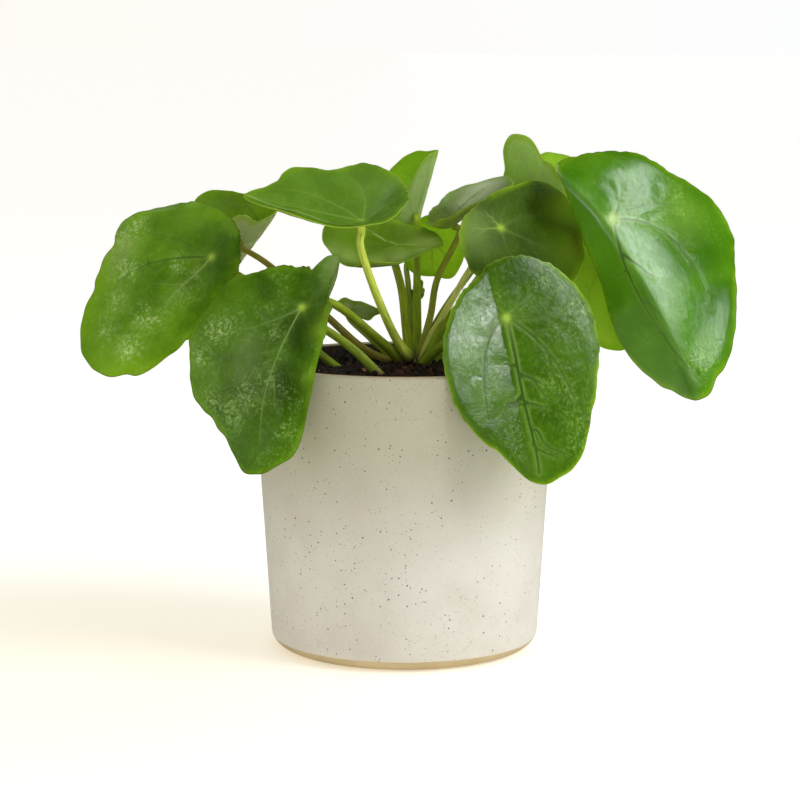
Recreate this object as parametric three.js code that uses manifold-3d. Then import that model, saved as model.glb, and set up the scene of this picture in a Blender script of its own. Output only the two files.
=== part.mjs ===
// A pilea with round shield-shaped leaves, in a pot filled with soil.
// Millimetres, +Z up. The origin is the middle of the pot's flat base, and -Y is the front.
import * as THREE from 'three';
import { mergeVertices } from 'three/addons/utils/BufferGeometryUtils.js';
import Module from 'manifold-3d';

const wasm = await Module();
wasm.setup();

// Clearance kept between neighbouring pieces
const GAP = 0.3;

// Pot
const POT_HEIGHT = 115;
const POT_RIM_RADIUS = 60;
const POT_WALL = 4;
const POT_FLOOR = 6;
const POT_CORNER_RADIUS = 53.2;
const POT_CORNER_HEIGHT = 7.2;
const POT_FOOT_RADIUS = 44.5;
const POT_CORNER_STEPS = 5;
const RIM_ROUNDING = 0.8;
const POT_SIDES = 60;

// Soil
const SOIL_EDGE_DEPTH = 3.5;
const SOIL_MOUND = 1.5;
const SOIL_LUMP = 0.5;
const SOIL_LUMP_TURNS = [0.31, 0.27];
const SOIL_RINGS = 4;

// Crown, the short stem that most petioles leave. A shoulder is its radius and its depth under the top.
const CROWN_CENTRE = [3.5, 3];
const CROWN_FOOT = 98;
const CROWN_TOP = 116.5;
const CROWN_FOOT_RADIUS = 3;
const CROWN_SHOULDERS = [[5, 8], [4.5, 3], [2.7, 0.6]];
const CROWN_SIDES = 16;

// Blades
const BLADE_THICKNESS = 1;
const BEND_LENGTH = 40;
const HUB_EASE = 6;
const RIB_STEPS = 12;
const SPOKE_SPACING = 9;
const RING_SPACING = 11;
const TIP_CROWDING = 0.4;

// Petioles
const PETIOLE_SIDES = 7;
const PETIOLE_STEP = 9;
const PETIOLE_APPROACH = 4;

// One entry for each leaf. The hub is where the petiole meets the blade, face is the direction that
// its upper side looks in, and tip is where its long end points. radii, slope and bend go round the
// hub in equal steps from the tip, counterclockwise on the upper side: each rib's length, its rise
// out of the face plane in degrees, and its further turn over each BEND_LENGTH. fold is a crease:
// the side it lies on in degrees from the tip, its distance from the hub, its radius and its turn.
// Each notch in the margin is its place in degrees, its depth and its width; a lobe is less than 0.
// petiole is the way from the root to the blade, and thick its radius at each end.
const LEAVES = [
  { name: '01', color: 0x4f8f2c, hub: [-74, -24, 157], face: [-0.3, -0.85, 0.42], tip: [-0.72, 0, -0.8],
    radii: [62, 50, 30, 18, 15, 13, 12, 12, 11, 11, 11, 12,
      14, 16, 19, 21.5, 25, 28.5, 33, 42, 45, 49, 58, 66],
    slope: [0, 0, -15, 0], bend: [-12, -5, -20, -8], fold: [84, 1, 8, -50],
    notches: [[4, 1.6, 3], [17, 2.2, 4], [292, -1, 4], [305, 0.8, 3], [324, 1.8, 4], [337, -0.8, 5]],
    petiole: [[-7, -28, 109], [-20, -27, 122], [-35, -24, 132], [-52, -18, 142]],
    thick: [1.8, 1.3] },
  { name: '02', color: 0x47892a, hub: [-38, -62, 141.5], face: [-0.25, -0.95, 0.16], tip: [-0.3, 0, -1],
    radii: [65, 54, 26, 15, 12.5, 12, 12, 13.5, 18, 25, 28, 26.5,
      18, 16, 16, 18, 20, 24, 32, 36, 45, 50, 55, 57],
    slope: [0, 0, -12, 0], bend: [-5, -5, -15, -10], fold: [95, 1, 5.5, -92],
    notches: [[322, -1, 6], [337, 1.2, 4], [357, -1, 3], [8, 1.4, 5]],
    petiole: [[-1, 0, 113], [-4.5, -3, 117.7], [-12, -12, 125.5], [-23.5, -26, 137], [-31, -42, 142]],
    thick: [2, 1.4] },
  { name: '03', color: 0x6ba32f, hub: [-65.5, 14, 159.5], face: [-0.1, 0.95, 0.25], tip: [0.8, 0, -0.6],
    radii: [42, 40, 33, 22, 14, 11, 10.5, 10.5, 10.5, 10.5, 11, 12, 11, 20, 25, 31.5],
    slope: [0], bend: [0], fold: [0, 1.5, 4, 138],
    petiole: [[-1, 4, 111], [-16, 6, 118], [-31, 8, 131], [-53, 6, 151]],
    thick: [1.7, 1.1] },
  { name: '04', color: 0x5a9440, hub: [-16.5, -26, 171], face: [0, -0.26, 0.96], tip: [-1, 0, 0],
    radii: [46, 38, 26, 20, 16, 15.5, 16, 17.5, 20, 21, 25, 30, 33, 32, 40, 39],
    slope: [10, 0, 14, 20, 30, 24, 22, 16], bend: [6, 40, 4, 0, 0, 5, 10, 8], fold: null,
    petiole: [[2, -2, 115], [-4, -8, 125], [-10, -17, 139], [-14.5, -23.5, 152], [-17.5, -26, 162]],
    thick: [1.8, 1.4] },
  { name: '05', color: 0x6fae3a, hub: [-3.9, 4, 159], face: [0.1, -0.1, 1], tip: [-1, 0, 0],
    radii: [29, 27.5, 27, 28, 21, 18, 18, 18.5, 19, 19, 17.5, 15, 15, 18, 23, 28],
    slope: [-4, -42, -62, -14, 8, 26, 42, 20], bend: [25, 72, 170, 75, 10, 0, 0, 20], fold: null,
    petiole: [[2, 3, 113], [0.6, 3, 126], [-1.2, 3, 142]],
    thick: [1.8, 1.5] },
  { name: '06', color: 0x9dbb6a, hub: [4.5, 21, 169.8], face: [-0.1, 0.97, 0.2], tip: [0.25, 0, 1],
    radii: [27, 27, 27, 26, 23, 18, 13, 8, 5, 6, 7, 8, 8.5, 9.5, 11.5, 14.5],
    slope: [0], bend: [0], fold: [90, 0.3, 1.6, 135],
    petiole: [[4, 6, 113], [5, 9, 122], [5, 15, 141], [5, 20.5, 157]],
    thick: [1.8, 1.3] },
  { name: '07', color: 0x6d7b45, hub: [19.3, 13, 167.2], face: [-0.5, -0.15, 0.75], tip: [0.8, 0, 0.6],
    radii: [29, 29, 23, 18, 15, 13.5, 12, 11, 11, 11, 11, 11, 11.5, 13, 17, 24],
    slope: [0, 38, 46, 40], bend: [0, 5, 0, 10], fold: null,
    petiole: [[5, 4, 113], [7.7, 5, 121.7], [10.5, 7, 132], [13.2, 9.5, 146]],
    thick: [1.6, 1.3] },
  { name: '08', color: 0x3f6a22, hub: [37, -16, 167.5], face: [0.32, -0.82, 0.5], tip: [0.9, 0, -0.35],
    radii: [36, 36, 35, 32, 22, 16, 13.5, 13, 14, 16, 18, 21, 24, 28, 32, 35],
    slope: [0], bend: [-10, -10, -25, -10], fold: null,
    petiole: [[6, 1, 112], [10.5, -1, 123.7], [14.6, -4, 131.3], [19.8, -6, 140.7], [26, -8, 151.6]],
    thick: [1.6, 1.2] },
  { name: '09', color: 0x3f8a35, hub: [37.3, -69, 138.5], face: [0.25, -0.95, 0.16], tip: [0.2, 0, -1],
    radii: [63, 61, 50, 43, 39, 36, 33, 30, 28, 26, 24.5, 22.5,
      21, 19, 19, 20, 21, 22.5, 25, 29, 33.5, 40, 46, 52],
    slope: [0, 0, -5, 0], bend: [-5, -15, -15, -5], fold: [270, 2, 12, -42],
    petiole: [[5, 0, 110], [14, -14, 121], [25, -36, 131], [33, -53, 136]],
    thick: [1.9, 1.4] },
  { name: '10', color: 0x4d9a34, hub: [79.5, -24, 171.5], face: [0.3, -0.85, 0.42], tip: [0.45, 0, -0.9],
    radii: [78.5, 75, 65.5, 58, 56, 50, 41, 37, 37, 35, 33.5, 33,
      33, 24, 20, 18, 17, 16, 16, 18, 22, 32, 55, 71],
    slope: [0, 0, -10, 0], bend: [-15, -15, -25, 0], fold: [272, 0, 6, -70],
    notches: [[352, 1, 3], [4, -1.5, 3], [9, 1.5, 3], [98, 0.8, 4]],
    petiole: [[6, 2, 110], [11, -2, 120], [18, -4, 132], [42, 4, 153], [60, 8, 164.5], [71, 5, 169.5]],
    thick: [1.9, 1.3] },
  { name: '11', color: 0x7d9a66, hub: [53.8, 26, 178.2], face: [0.2, 0.9, 0.3], tip: [-0.35, 0, 1],
    radii: [27, 19.5, 15, 14, 12.5, 12, 13, 13, 12.5, 12, 12, 12,
      12, 12, 12, 12, 12, 12.5, 13, 13, 14, 15, 17.5, 22],
    slope: [0, 10, 0, 10], bend: [0], fold: null,
    petiole: [[6, 5, 112], [12, 8, 127], [24, 11, 145], [40, 17, 164]],
    thick: [1.5, 1.1] },
  { name: '12', color: 0x83bd3c, hub: [62, 38, 179.5], face: [0.2, -0.8, 0.6], tip: [0.1, 0, 1],
    radii: [18, 17, 16, 15, 14, 13, 13, 13, 14, 15, 16, 18],
    slope: [0], bend: [0], fold: null,
    petiole: [[6, 7, 110], [14, 14, 121], [22, 22, 134], [38, 34, 154], [54, 42, 168]],
    thick: [1.5, 1.1] },
  { name: '13', color: 0xa3bf2f, hub: [78.5, 4, 150.5], face: [0.35, -0.85, 0.3], tip: [0.1, 0, -1],
    radii: [33.5, 29, 24, 20, 17, 15, 14, 14, 16, 18, 22, 28.5],
    slope: [0], bend: [0], fold: null,
    petiole: [[6, 4, 109], [18, 6, 119], [38, 9, 133], [60, 12, 146]],
    thick: [1.6, 1.1] },
  { name: '14', color: 0x86c62f, hub: [11, 30, 158.5], face: [0.1, -0.9, 0.3], tip: [0, 0, -1],
    radii: [14, 16, 14.5, 13, 12, 11, 11, 11, 12, 13, 14, 14.5],
    slope: [0], bend: [0], fold: null,
    petiole: [[3, 9, 111], [3.2, 13, 121], [2.6, 17, 130.6], [1.6, 24, 142], [1.5, 32, 151]],
    thick: [1.4, 1] },
  { name: '15', color: 0x93a572, hub: [-21, 24, 132], face: [0.3, 0.6, 0.7], tip: [1, 0, -0.2],
    radii: [9, 7.5, 6.5, 6, 6, 6, 7, 7, 7, 6.5, 8, 13],
    slope: [0], bend: [0], fold: null,
    petiole: [[-1, 8, 110], [-9, 12, 117], [-15, 16, 122]],
    thick: [1.1, 0.8] },
  { name: '16', color: 0xa9c33a, hub: [-82.5, 2, 142.5], face: [-0.5, -0.75, 0.4], tip: [-0.1, 0, -1],
    radii: [22, 19, 16, 13, 12, 11, 11, 11, 12, 14, 17, 20],
    slope: [0], bend: [0], fold: null,
    petiole: [[-22, -11, 109], [-36, -8, 120], [-53, -3, 132], [-70, 3, 139]],
    thick: [1.6, 1.1] },
  { name: '17', color: 0xa8cb3e, hub: [5.8, 19, 140.3], face: [0.4, -0.6, 0.3], tip: [0.1, 0, 1],
    radii: [5, 4, 2.5, 2.5, 2.5, 3, 4, 3, 2.5, 2.5, 2.5, 4],
    slope: [0, 40, 0, 40], bend: [0], fold: null,
    petiole: [[5, 14, 109], [5, 17, 124]],
    thick: [0.9, 0.8] },
];

function vector(values) {
  return new THREE.Vector3(...values);
}

// A list's value at an angle round the hub, on a smooth closed curve through its values
function aroundHub(values, angle) {
  const count = values.length;
  const turn = ((angle / (2 * Math.PI)) % 1 + 1) % 1 * count;
  const i = Math.floor(turn);
  const t = turn - i;
  const [a, b, c, d] = [-1, 0, 1, 2].map((step) => values[(i + step + count) % count]);
  return b + 0.5 * t * (c - a + t * (2 * a - 5 * b + 4 * c - d + t * (3 * (b - c) + d - a)));
}

// A rib's length at an angle round the hub, less the notches near it
function ribLength(leaf, angle) {
  const { radii, notches = [] } = leaf;
  const degrees = THREE.MathUtils.radToDeg(angle);
  return notches.reduce((length, [place, depth, width]) => {
    const away = THREE.MathUtils.euclideanModulo(degrees - place + 180, 360) - 180;
    return length - depth * Math.exp(-((away / width) ** 2));
  }, aroundHub(radii, angle));
}

// A flat point of the blade carried round its crease; w is its height over the flat blade
function creased(fold, u, v, w) {
  if (!fold) return [u, v, w];
  const [side, distance, radius, turn] = fold;
  const across = THREE.MathUtils.degToRad(side);
  const whole = THREE.MathUtils.degToRad(Math.abs(turn));
  const way = Math.sign(turn);
  const past = u * Math.cos(across) + v * Math.sin(across) - distance;
  if (past <= 0) return [u, v, w];
  const angle = Math.min(past / radius, whole);
  const rest = Math.max(past - radius * whole, 0);
  const reach = (radius - way * w) * Math.sin(angle) + rest * Math.cos(angle);
  const rise = way * (radius - (radius - way * w) * Math.cos(angle) + rest * Math.sin(angle));
  return [u + (reach - past) * Math.cos(across), v + (reach - past) * Math.sin(across), rise];
}

// The blade's own axes: towards the tip, to the side, and out of the upper face
function bladeAxes(leaf) {
  const up = vector(leaf.face).normalize();
  const tip = vector(leaf.tip);
  tip.addScaledVector(up, -tip.dot(up)).normalize();
  return [tip, up.clone().cross(tip), up];
}

// The place of a point that lies at a length and angle from the hub on the flat blade
function bladePoint(leaf, length, angle, lift) {
  const [tip, side, up] = bladeAxes(leaf);
  const flat = creased(leaf.fold, length * Math.cos(angle), length * Math.sin(angle), lift);
  const far = Math.hypot(flat[0], flat[1]);
  const point = vector(leaf.hub);
  if (far < 1e-6) return point.addScaledVector(up, lift);
  const heading = Math.atan2(flat[1], flat[0]);
  const slope = THREE.MathUtils.degToRad(aroundHub(leaf.slope, heading));
  const bend = THREE.MathUtils.degToRad(aroundHub(leaf.bend, heading)) / BEND_LENGTH;
  const pitchAt = (s) => slope * Math.min(s / HUB_EASE, 1) + bend * s;
  const step = far / RIB_STEPS;
  let out = 0;
  let rise = 0;
  for (let i = 0; i < RIB_STEPS; i++) {
    const pitch = pitchAt((i + 0.5) * step);
    out += Math.cos(pitch) * step;
    rise += Math.sin(pitch) * step;
  }
  const end = pitchAt(far);
  out -= flat[2] * Math.sin(end);
  rise += flat[2] * Math.cos(end);
  point.addScaledVector(tip, out * Math.cos(heading));
  point.addScaledVector(side, out * Math.sin(heading));
  return point.addScaledVector(up, rise);
}

// A thin closed blade: two faces of rings and spokes, split into triangles alike, and a blunt edge.
// It is thicker on both faces by the margin.
function bladeGeometry(leaf, margin) {
  const longest = Math.max(...leaf.radii);
  const spokes = 12 + 2 * Math.round(longest / SPOKE_SPACING);
  const rings = 2 + Math.round(longest / (2 * RING_SPACING));
  const positions = [];
  for (const lift of [BLADE_THICKNESS / 2 + margin, -BLADE_THICKNESS / 2 - margin]) {
    positions.push(bladePoint(leaf, 0, 0, lift));
    for (let ring = 1; ring <= rings; ring++) {
      for (let spoke = 0; spoke < spokes; spoke++) {
        const turn = 2 * Math.PI * spoke / spokes;
        const angle = turn - TIP_CROWDING * Math.sin(turn);
        positions.push(bladePoint(leaf, ribLength(leaf, angle) * ring / rings, angle, lift));
      }
    }
  }
  const lower = 1 + rings * spokes;
  const at = (ring, spoke) => (ring === 0 ? 0 : 1 + (ring - 1) * spokes + spoke % spokes);
  const index = [];
  const addFaces = (a, b, c) => index.push(a, b, c, lower + a, lower + c, lower + b);
  for (let spoke = 0; spoke < spokes; spoke++) {
    addFaces(0, at(1, spoke), at(1, spoke + 1));
    for (let ring = 1; ring < rings; ring++) {
      addFaces(at(ring, spoke), at(ring + 1, spoke), at(ring + 1, spoke + 1));
      addFaces(at(ring, spoke), at(ring + 1, spoke + 1), at(ring, spoke + 1));
    }
    const here = at(rings, spoke);
    const next = at(rings, spoke + 1);
    index.push(here, lower + here, lower + next, here, lower + next, next);
  }
  const geometry = new THREE.BufferGeometry().setFromPoints(positions);
  geometry.setIndex(index);
  return geometry;
}

// The petiole's way: its own points, then straight up to the blade's lower face at the hub
function petioleCurve(leaf) {
  const up = vector(leaf.face).normalize();
  const end = vector(leaf.hub).addScaledVector(up, -BLADE_THICKNESS / 2 - GAP);
  const approach = end.clone().addScaledVector(up, -PETIOLE_APPROACH);
  const points = [...leaf.petiole.map(vector), approach, end];
  return new THREE.CatmullRomCurve3(points, false, 'catmullrom', 0.5);
}

// A tapering round stalk along the curve, larger all round by the margin
function petioleGeometry(leaf, margin) {
  const curve = petioleCurve(leaf);
  const steps = Math.max(4, Math.round(curve.getLength() / PETIOLE_STEP));
  const [rootRadius, topRadius] = leaf.thick;
  const geometry = new THREE.CylinderGeometry(topRadius, rootRadius, 1, PETIOLE_SIDES, steps);
  const places = geometry.attributes.position;
  const aside = new THREE.Vector3(0.25, 1, 0.1).normalize();
  for (let i = 0; i < places.count; i++) {
    const t = places.getY(i) + 0.5;
    const along = curve.getTangentAt(t);
    const across = along.clone().cross(aside).normalize();
    const over = across.clone().cross(along);
    const radius = Math.hypot(places.getX(i), places.getZ(i));
    const grown = radius > 0 ? 1 + margin / radius : 1;
    const point = curve.getPointAt(t);
    point.addScaledVector(along, margin * (2 * t - 1));
    point.addScaledVector(across, places.getX(i) * grown);
    point.addScaledVector(over, places.getZ(i) * grown);
    places.setXYZ(i, ...point);
  }
  return weld(geometry);
}

function weld(geometry) {
  geometry.deleteAttribute('normal');
  geometry.deleteAttribute('uv');
  return mergeVertices(geometry);
}

function toSolid(geometry) {
  return new wasm.Manifold(new wasm.Mesh({
    numProp: 3,
    vertProperties: new Float32Array(geometry.attributes.position.array),
    triVerts: new Uint32Array(geometry.index.array),
  }));
}

function toGeometry(solid) {
  const mesh = solid.getMesh();
  const geometry = new THREE.BufferGeometry();
  geometry.setAttribute('position', new THREE.BufferAttribute(mesh.vertProperties, 3));
  geometry.setIndex(new THREE.BufferAttribute(mesh.triVerts, 1));
  return geometry;
}

// A turned solid from its profile of [radius, height] pairs, foot to top
function turned(profile, sides) {
  const points = profile.map(([radius, height]) => new THREE.Vector2(radius, height));
  return weld(new THREE.LatheGeometry(points, sides).rotateX(Math.PI / 2));
}

// The pot's outer radius at a height on its straight wall
function potRadius(height) {
  const rise = (height - POT_CORNER_HEIGHT) / (POT_HEIGHT - POT_CORNER_HEIGHT);
  return POT_CORNER_RADIUS + (POT_RIM_RADIUS - POT_CORNER_RADIUS) * rise;
}

function potGeometry() {
  const profile = [[0, 0]];
  for (let i = 0; i <= POT_CORNER_STEPS; i++) {
    const turn = (Math.PI / 2) * i / POT_CORNER_STEPS;
    profile.push([
      POT_FOOT_RADIUS + (POT_CORNER_RADIUS - POT_FOOT_RADIUS) * Math.sin(turn),
      POT_CORNER_HEIGHT * (1 - Math.cos(turn)),
    ]);
  }
  const shoulder = POT_HEIGHT - RIM_ROUNDING;
  profile.push([potRadius(shoulder), shoulder], [POT_RIM_RADIUS - RIM_ROUNDING, POT_HEIGHT]);
  profile.push([POT_RIM_RADIUS - POT_WALL + RIM_ROUNDING, POT_HEIGHT]);
  profile.push([potRadius(shoulder) - POT_WALL, shoulder]);
  profile.push([potRadius(POT_FLOOR) - POT_WALL, POT_FLOOR], [0, POT_FLOOR]);
  return turned(profile, POT_SIDES);
}

// The soil, mounded to the middle with low lumps, and its plain holes for the crown and stalks
function soilGeometry(cutters) {
  const edgeHeight = POT_HEIGHT - SOIL_EDGE_DEPTH;
  const foot = POT_FLOOR + GAP;
  const wallGap = POT_WALL + GAP;
  const edgeRadius = potRadius(edgeHeight) - wallGap;
  const profile = [[0, foot], [potRadius(foot) - wallGap, foot], [edgeRadius, edgeHeight]];
  for (let ring = SOIL_RINGS - 1; ring >= 0; ring--) {
    const share = ring / SOIL_RINGS;
    profile.push([edgeRadius * share, edgeHeight + SOIL_MOUND * (1 - share * share)]);
  }
  const geometry = turned(profile, POT_SIDES);
  const places = geometry.attributes.position;
  for (let i = 0; i < places.count; i++) {
    const [x, y, z] = [places.getX(i), places.getY(i), places.getZ(i)];
    if (z <= edgeHeight + 0.01) continue;
    places.setZ(i, z + SOIL_LUMP * Math.sin(x * SOIL_LUMP_TURNS[0] + 1) * Math.cos(y * SOIL_LUMP_TURNS[1]));
  }
  const solid = cutters.reduce((rest, cutter) => rest.subtract(cutter), toSolid(geometry));
  return toGeometry(largest(solid));
}

function crownGeometry(margin) {
  const foot = CROWN_FOOT - margin;
  const top = CROWN_TOP + margin;
  const profile = [[0, foot], [CROWN_FOOT_RADIUS + margin, foot]];
  for (const [radius, depth] of CROWN_SHOULDERS) profile.push([radius + margin, top - depth]);
  profile.push([0, top]);
  return turned(profile, CROWN_SIDES).translate(...CROWN_CENTRE, 0);
}

// The largest piece of a solid, without the scraps that a cut can leave
function largest(solid) {
  return solid.decompose().sort((a, b) => b.volume() - a.volume())[0];
}

const plant = new THREE.Group();

function addPiece(name, geometry, color, roughness) {
  const material = new THREE.MeshStandardMaterial({ color, roughness, metalness: 0 });
  const mesh = new THREE.Mesh(geometry, material);
  mesh.name = name;
  plant.add(mesh);
}

const crownCutter = toSolid(crownGeometry(GAP));
const stalkCutters = [];

addPiece('pot', potGeometry(), 0xd6cfbd, 0.85);
for (const leaf of LEAVES) {
  let stalk = toSolid(petioleGeometry(leaf, 0)).subtract(crownCutter);
  for (const cutter of [toSolid(bladeGeometry(leaf, GAP)), ...stalkCutters]) {
    stalk = stalk.subtract(cutter);
  }
  addPiece(`petiole_${leaf.name}`, toGeometry(largest(stalk)), 0x7f9a3c, 0.5);
  stalkCutters.push(toSolid(petioleGeometry(leaf, GAP)));
  addPiece(`leaf_${leaf.name}`, bladeGeometry(leaf, 0), leaf.color, 0.4);
}
addPiece('crown', crownGeometry(0), 0x6f7f3a, 0.7);
addPiece('soil', soilGeometry([crownCutter, ...stalkCutters]), 0x2c2018, 1);

export default plant;
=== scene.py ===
"""The look of a potted pilea: its leaves, stalks, soil and speckled pot, with the camera and the light.

Lengths are in millimetres up to the meshes, which are in metres. Colours are red, green and blue of 0
to 255, as a screen shows them.
"""

import math

import bpy
import numpy as np
from mathutils import Matrix


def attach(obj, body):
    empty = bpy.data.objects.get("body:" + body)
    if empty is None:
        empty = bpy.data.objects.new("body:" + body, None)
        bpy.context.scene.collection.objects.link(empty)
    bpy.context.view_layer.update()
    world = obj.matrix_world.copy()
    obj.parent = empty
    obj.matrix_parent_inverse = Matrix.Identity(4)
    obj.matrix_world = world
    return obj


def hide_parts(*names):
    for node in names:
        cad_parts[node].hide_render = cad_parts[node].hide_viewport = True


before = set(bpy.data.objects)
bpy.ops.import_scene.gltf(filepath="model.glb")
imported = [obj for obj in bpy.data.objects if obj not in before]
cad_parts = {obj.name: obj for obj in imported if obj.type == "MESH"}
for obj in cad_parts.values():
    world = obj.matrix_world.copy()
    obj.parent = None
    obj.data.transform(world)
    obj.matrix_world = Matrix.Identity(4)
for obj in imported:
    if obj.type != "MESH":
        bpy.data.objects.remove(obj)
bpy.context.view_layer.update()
rng = np.random.default_rng(7)

# Measures

METRES = 0.001

# The floor's half width, its colours to the right, to the left and of the painted warm shadow beside the
# pot, where in metres it is all one and all the other, and its own glow
FLOOR_REACH = 100000
FLOOR_AND_SHADOW_COLOURS = ((254, 254, 252), (254, 252, 248), (250, 243, 226))
FLOOR_SIDES = (0.3, -0.3)
FLOOR_GLOW = 0.42
FLOOR_ROUGHNESS = 0.7
FLOOR_GLOSS = 0.1

# The painted warm shadow on the floor beside the pot: its middle, and from how far away to how near it
# grows
PAINTED_SHADOW_PLACE = (-0.16, -0.05, 0)
PAINTED_SHADOW_REACH = (0.34, 0.05)

# The camera, a little left of the pot's axis, and how far it looks down
CAMERA_PLACE = (-1.77, -1000, 236.9)
CAMERA_DOWN_DEGREES = 7.89
CAMERA_LENS = 114.5
CAMERA_SENSOR = 36
CAMERA_CLIPS = (0.01, 100)

# The room's brightness where the camera sees it, as a light, and in reflections
WORLD_SEEN = 1.0
WORLD_LIGHTING = 0.62
WORLD_REFLECTED = 0.02

# The room's tint behind the plant, from left to right, and all round elsewhere, and the headings between
# which they turn into each other and into the dark under the horizon
WORLD_TINT = (1, 1, 1, 1)
WORLD_LEFT_TINT = (1, 0.96, 0.9, 1)
WORLD_RIGHT_TINT = (0.98, 0.99, 1, 1)
WORLD_SIDES = (-0.25, 0.25)
WORLD_BEHIND = (0.6, 0.85)
WORLD_HORIZON = (-0.01, 0.01)

# The soft panels: place in metres, width and height, roll in degrees, power, tint, and whether the
# panel lights or only shines
LIT_POINT = (0, 0, 0.13)
WINDOW_TINT = (0.94, 0.98, 1)
LIGHTS = {
    "key": ((1.15, -0.55, 0.95), (0.8, 0.8), 0, 11, (0.99, 1, 1), True),
    "right_window": ((1.13, -0.73, 0.79), (0.26, 1), 14, 11, WINDOW_TINT, False),
    "low_window": ((1.47, -0.29, 0.2), (0.16, 0.3), 0, 1.5, WINDOW_TINT, False),
    "high_window": ((0.84, -0.21, 1.36), (0.32, 0.85), -34, 8, WINDOW_TINT, False),
    "left_window": ((-1.165, -0.975, 0.1), (0.4, 0.42), 0, 12, WINDOW_TINT, False),
    "back_window": ((-0.65, 0.38, 1.4), (0.5, 0.5), 0, 9, WINDOW_TINT, False),
}

# The pot, as in the frame
POT_HEIGHT = 115
POT_RIM_RADIUS = 60
POT_WALL = 4
POT_FLOOR = 6
POT_CORNER_RADIUS = 53.2
POT_CORNER_HEIGHT = 7.2
POT_FOOT_RADIUS = 44.5
RIM_ROUNDING = 1.3

# The pot's mesh: its sides, the rings under it and on its floor as shares of their radius, and the steps
# of its corner, wall, rounded rim and inside
POT_SIDES = 256
FOOT_RINGS = (0.25, 0.5, 0.75, 0.93)
FLOOR_RINGS = (0.66, 0.33)
CORNER_STEPS = 20
WALL_STEPS = 30
ROUNDING_STEPS = 6
INSIDE_STEPS = 12

# The glaze from its darker to its lighter clouds, its grain, the painted shade on its upper half, the bare
# clay of the foot and the rim, and the dark band on the inner wall near the rim
GLAZE = ((209, 204, 193), (217, 213, 204))
GLAZE_GRAIN = (186, 172, 146)
GLAZE_PAINTED_SHADE = (216, 216, 196)
CLAY = ((200, 182, 144), (186, 167, 126))
RIM_CLAY = (180, 152, 108)
INNER_WALL_DARK = (58, 42, 30)

# Heights and radii in metres between which the pot's painted shade, clay foot, clay rim and inner dark band
# set in
PAINTED_SHADE_HEIGHTS = (0.04, 0.1)
CLAY_FOOT_HEIGHTS = (0.0048, 0.0052)
CLAY_RIM_HEIGHTS = (0.1147, 0.1152)
INNER_DARK_RADII = (0.0572, 0.0566)
INNER_DARK_FOOT_HEIGHTS = (0.106, 0.107)
INNER_DARK_TOP_HEIGHTS = (0.1154, 0.1146)

# Each surface's roughness, the strength and the depth in metres of its bumps, and its gloss. A leaf has
# its own, apart from the depth
POT_SURFACE = (0.72, 0.25, 0.0004, 0.35)
SOIL_SURFACE = (0.85, 0.8, 0.0008, 0.2)
CROWN_SURFACE = (0.6, 0.5, 0.0005, 0.5)
PETIOLE_SURFACE = (0.4, 0.2, 0.0003, 0.2)
LEAF_BUMP_DEPTH = 0.0003

# The noises of pot, soil and crown: how many to a metre, with detail and roughness
CLOUD_NOISE = (45, 4, 0.6)
GLAZE_GRAIN_NOISE = (1100, 2)
CLUSTER_NOISE = (110, 2)
WANDER_NOISE = (60, 3)
SOIL_NOISE = (600, 5, 0.65)
BARK_NOISE = (500, 4)

# Each kind of speck: cells to a metre, the speck's size and the share of cells that have one, where its
# clusters fade out, its strength and its colour
SPECKS = [
    (800, 0.22, 0.5, -0.6, 0.6, (112, 94, 66)),
    (520, 0.17, 0.5, -0.2, 1, (24, 18, 12)),
    (300, 0.12, 0.34, None, 1, (10, 8, 6)),
]

# The soil, as in the frame, and its mesh
SOIL_GAP = 0.3
SOIL_EDGE_DEPTH = 3.5
SOIL_MOUND = 1.5
SOIL_FOOT_RING = 10
SOIL_MIDDLE_HEIGHT = 60
SOIL_SIDES = 240
SOIL_RINGS = 60
SOIL_ROUGHNESS = 0.16

# The soil's lumps: the height of each, and two waves that it is made of, each as its share of x and of
# y and its start
SOIL_LUMPS = [
    (0.5, (0.31, 0, 1), (0, 0.27, math.pi / 2)),
    (0.45, (0.93, 0.4, 0), (-0.3, 1.13, 2)),
    (0.3, (2.3, 1.7, 0), (-1.2, 2.1, 0)),
]

# The crumbs: how many, over what share of the soil, the share that are small, their radii, how far their
# shape and each width vary, and how high they lie
CRUMBS = 1400
CRUMB_SPREAD = 0.94
SMALL_CRUMB_SHARE = 0.8
SMALL_CRUMB = (0.4, 1.1)
LARGE_CRUMB = (1.1, 2.1)
CRUMB_KNOBS = 0.3
CRUMB_WIDTHS = (0.6, 1.3)
CRUMB_LIFT = 0.1

# The soil's ground colours, dark to light, and those of its red-brown and tan bits
SOIL_GROUND = ((16, 11, 6), (54, 35, 21))
SOIL_RED = (66, 36, 20)
SOIL_TAN = (140, 104, 66)

# The crown: its place and measures, its mesh, how full its dome is, how much its foot tapers, its ridges
# (how many, how high, and how fast they change with the height) and its bark
CROWN_CENTRE = (3.5, 3)
CROWN_FOOT = 98
CROWN_TOP = 116.5
CROWN_RADIUS = 5
CROWN_SIDES = 48
CROWN_RINGS = 24
CROWN_DOME = 1.7
CROWN_TAPER = 0.7
CROWN_RIDGES = (5, 0.1, 0.9)
CROWN_BARK = ((52, 70, 24), (112, 132, 48))

# The blades: their thickness in the middle and at the rim and how wide the thinning is, the lengths over
# which they bend and over which the slope sets in, the steps along a rib, how far apart the leaves'
# noises are, and the strength and width of the hub star's arms
BLADE_THICKNESS = 0.9
BLADE_RIM_THICKNESS = 0.45
BLADE_THINNING = 6
BEND_LENGTH = 40
HUB_EASE = 6
RIB_STEPS = 12
LEAF_NOISE_SHIFT = 37.0
STAR_ARMS = (0.6, 0.6)

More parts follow.
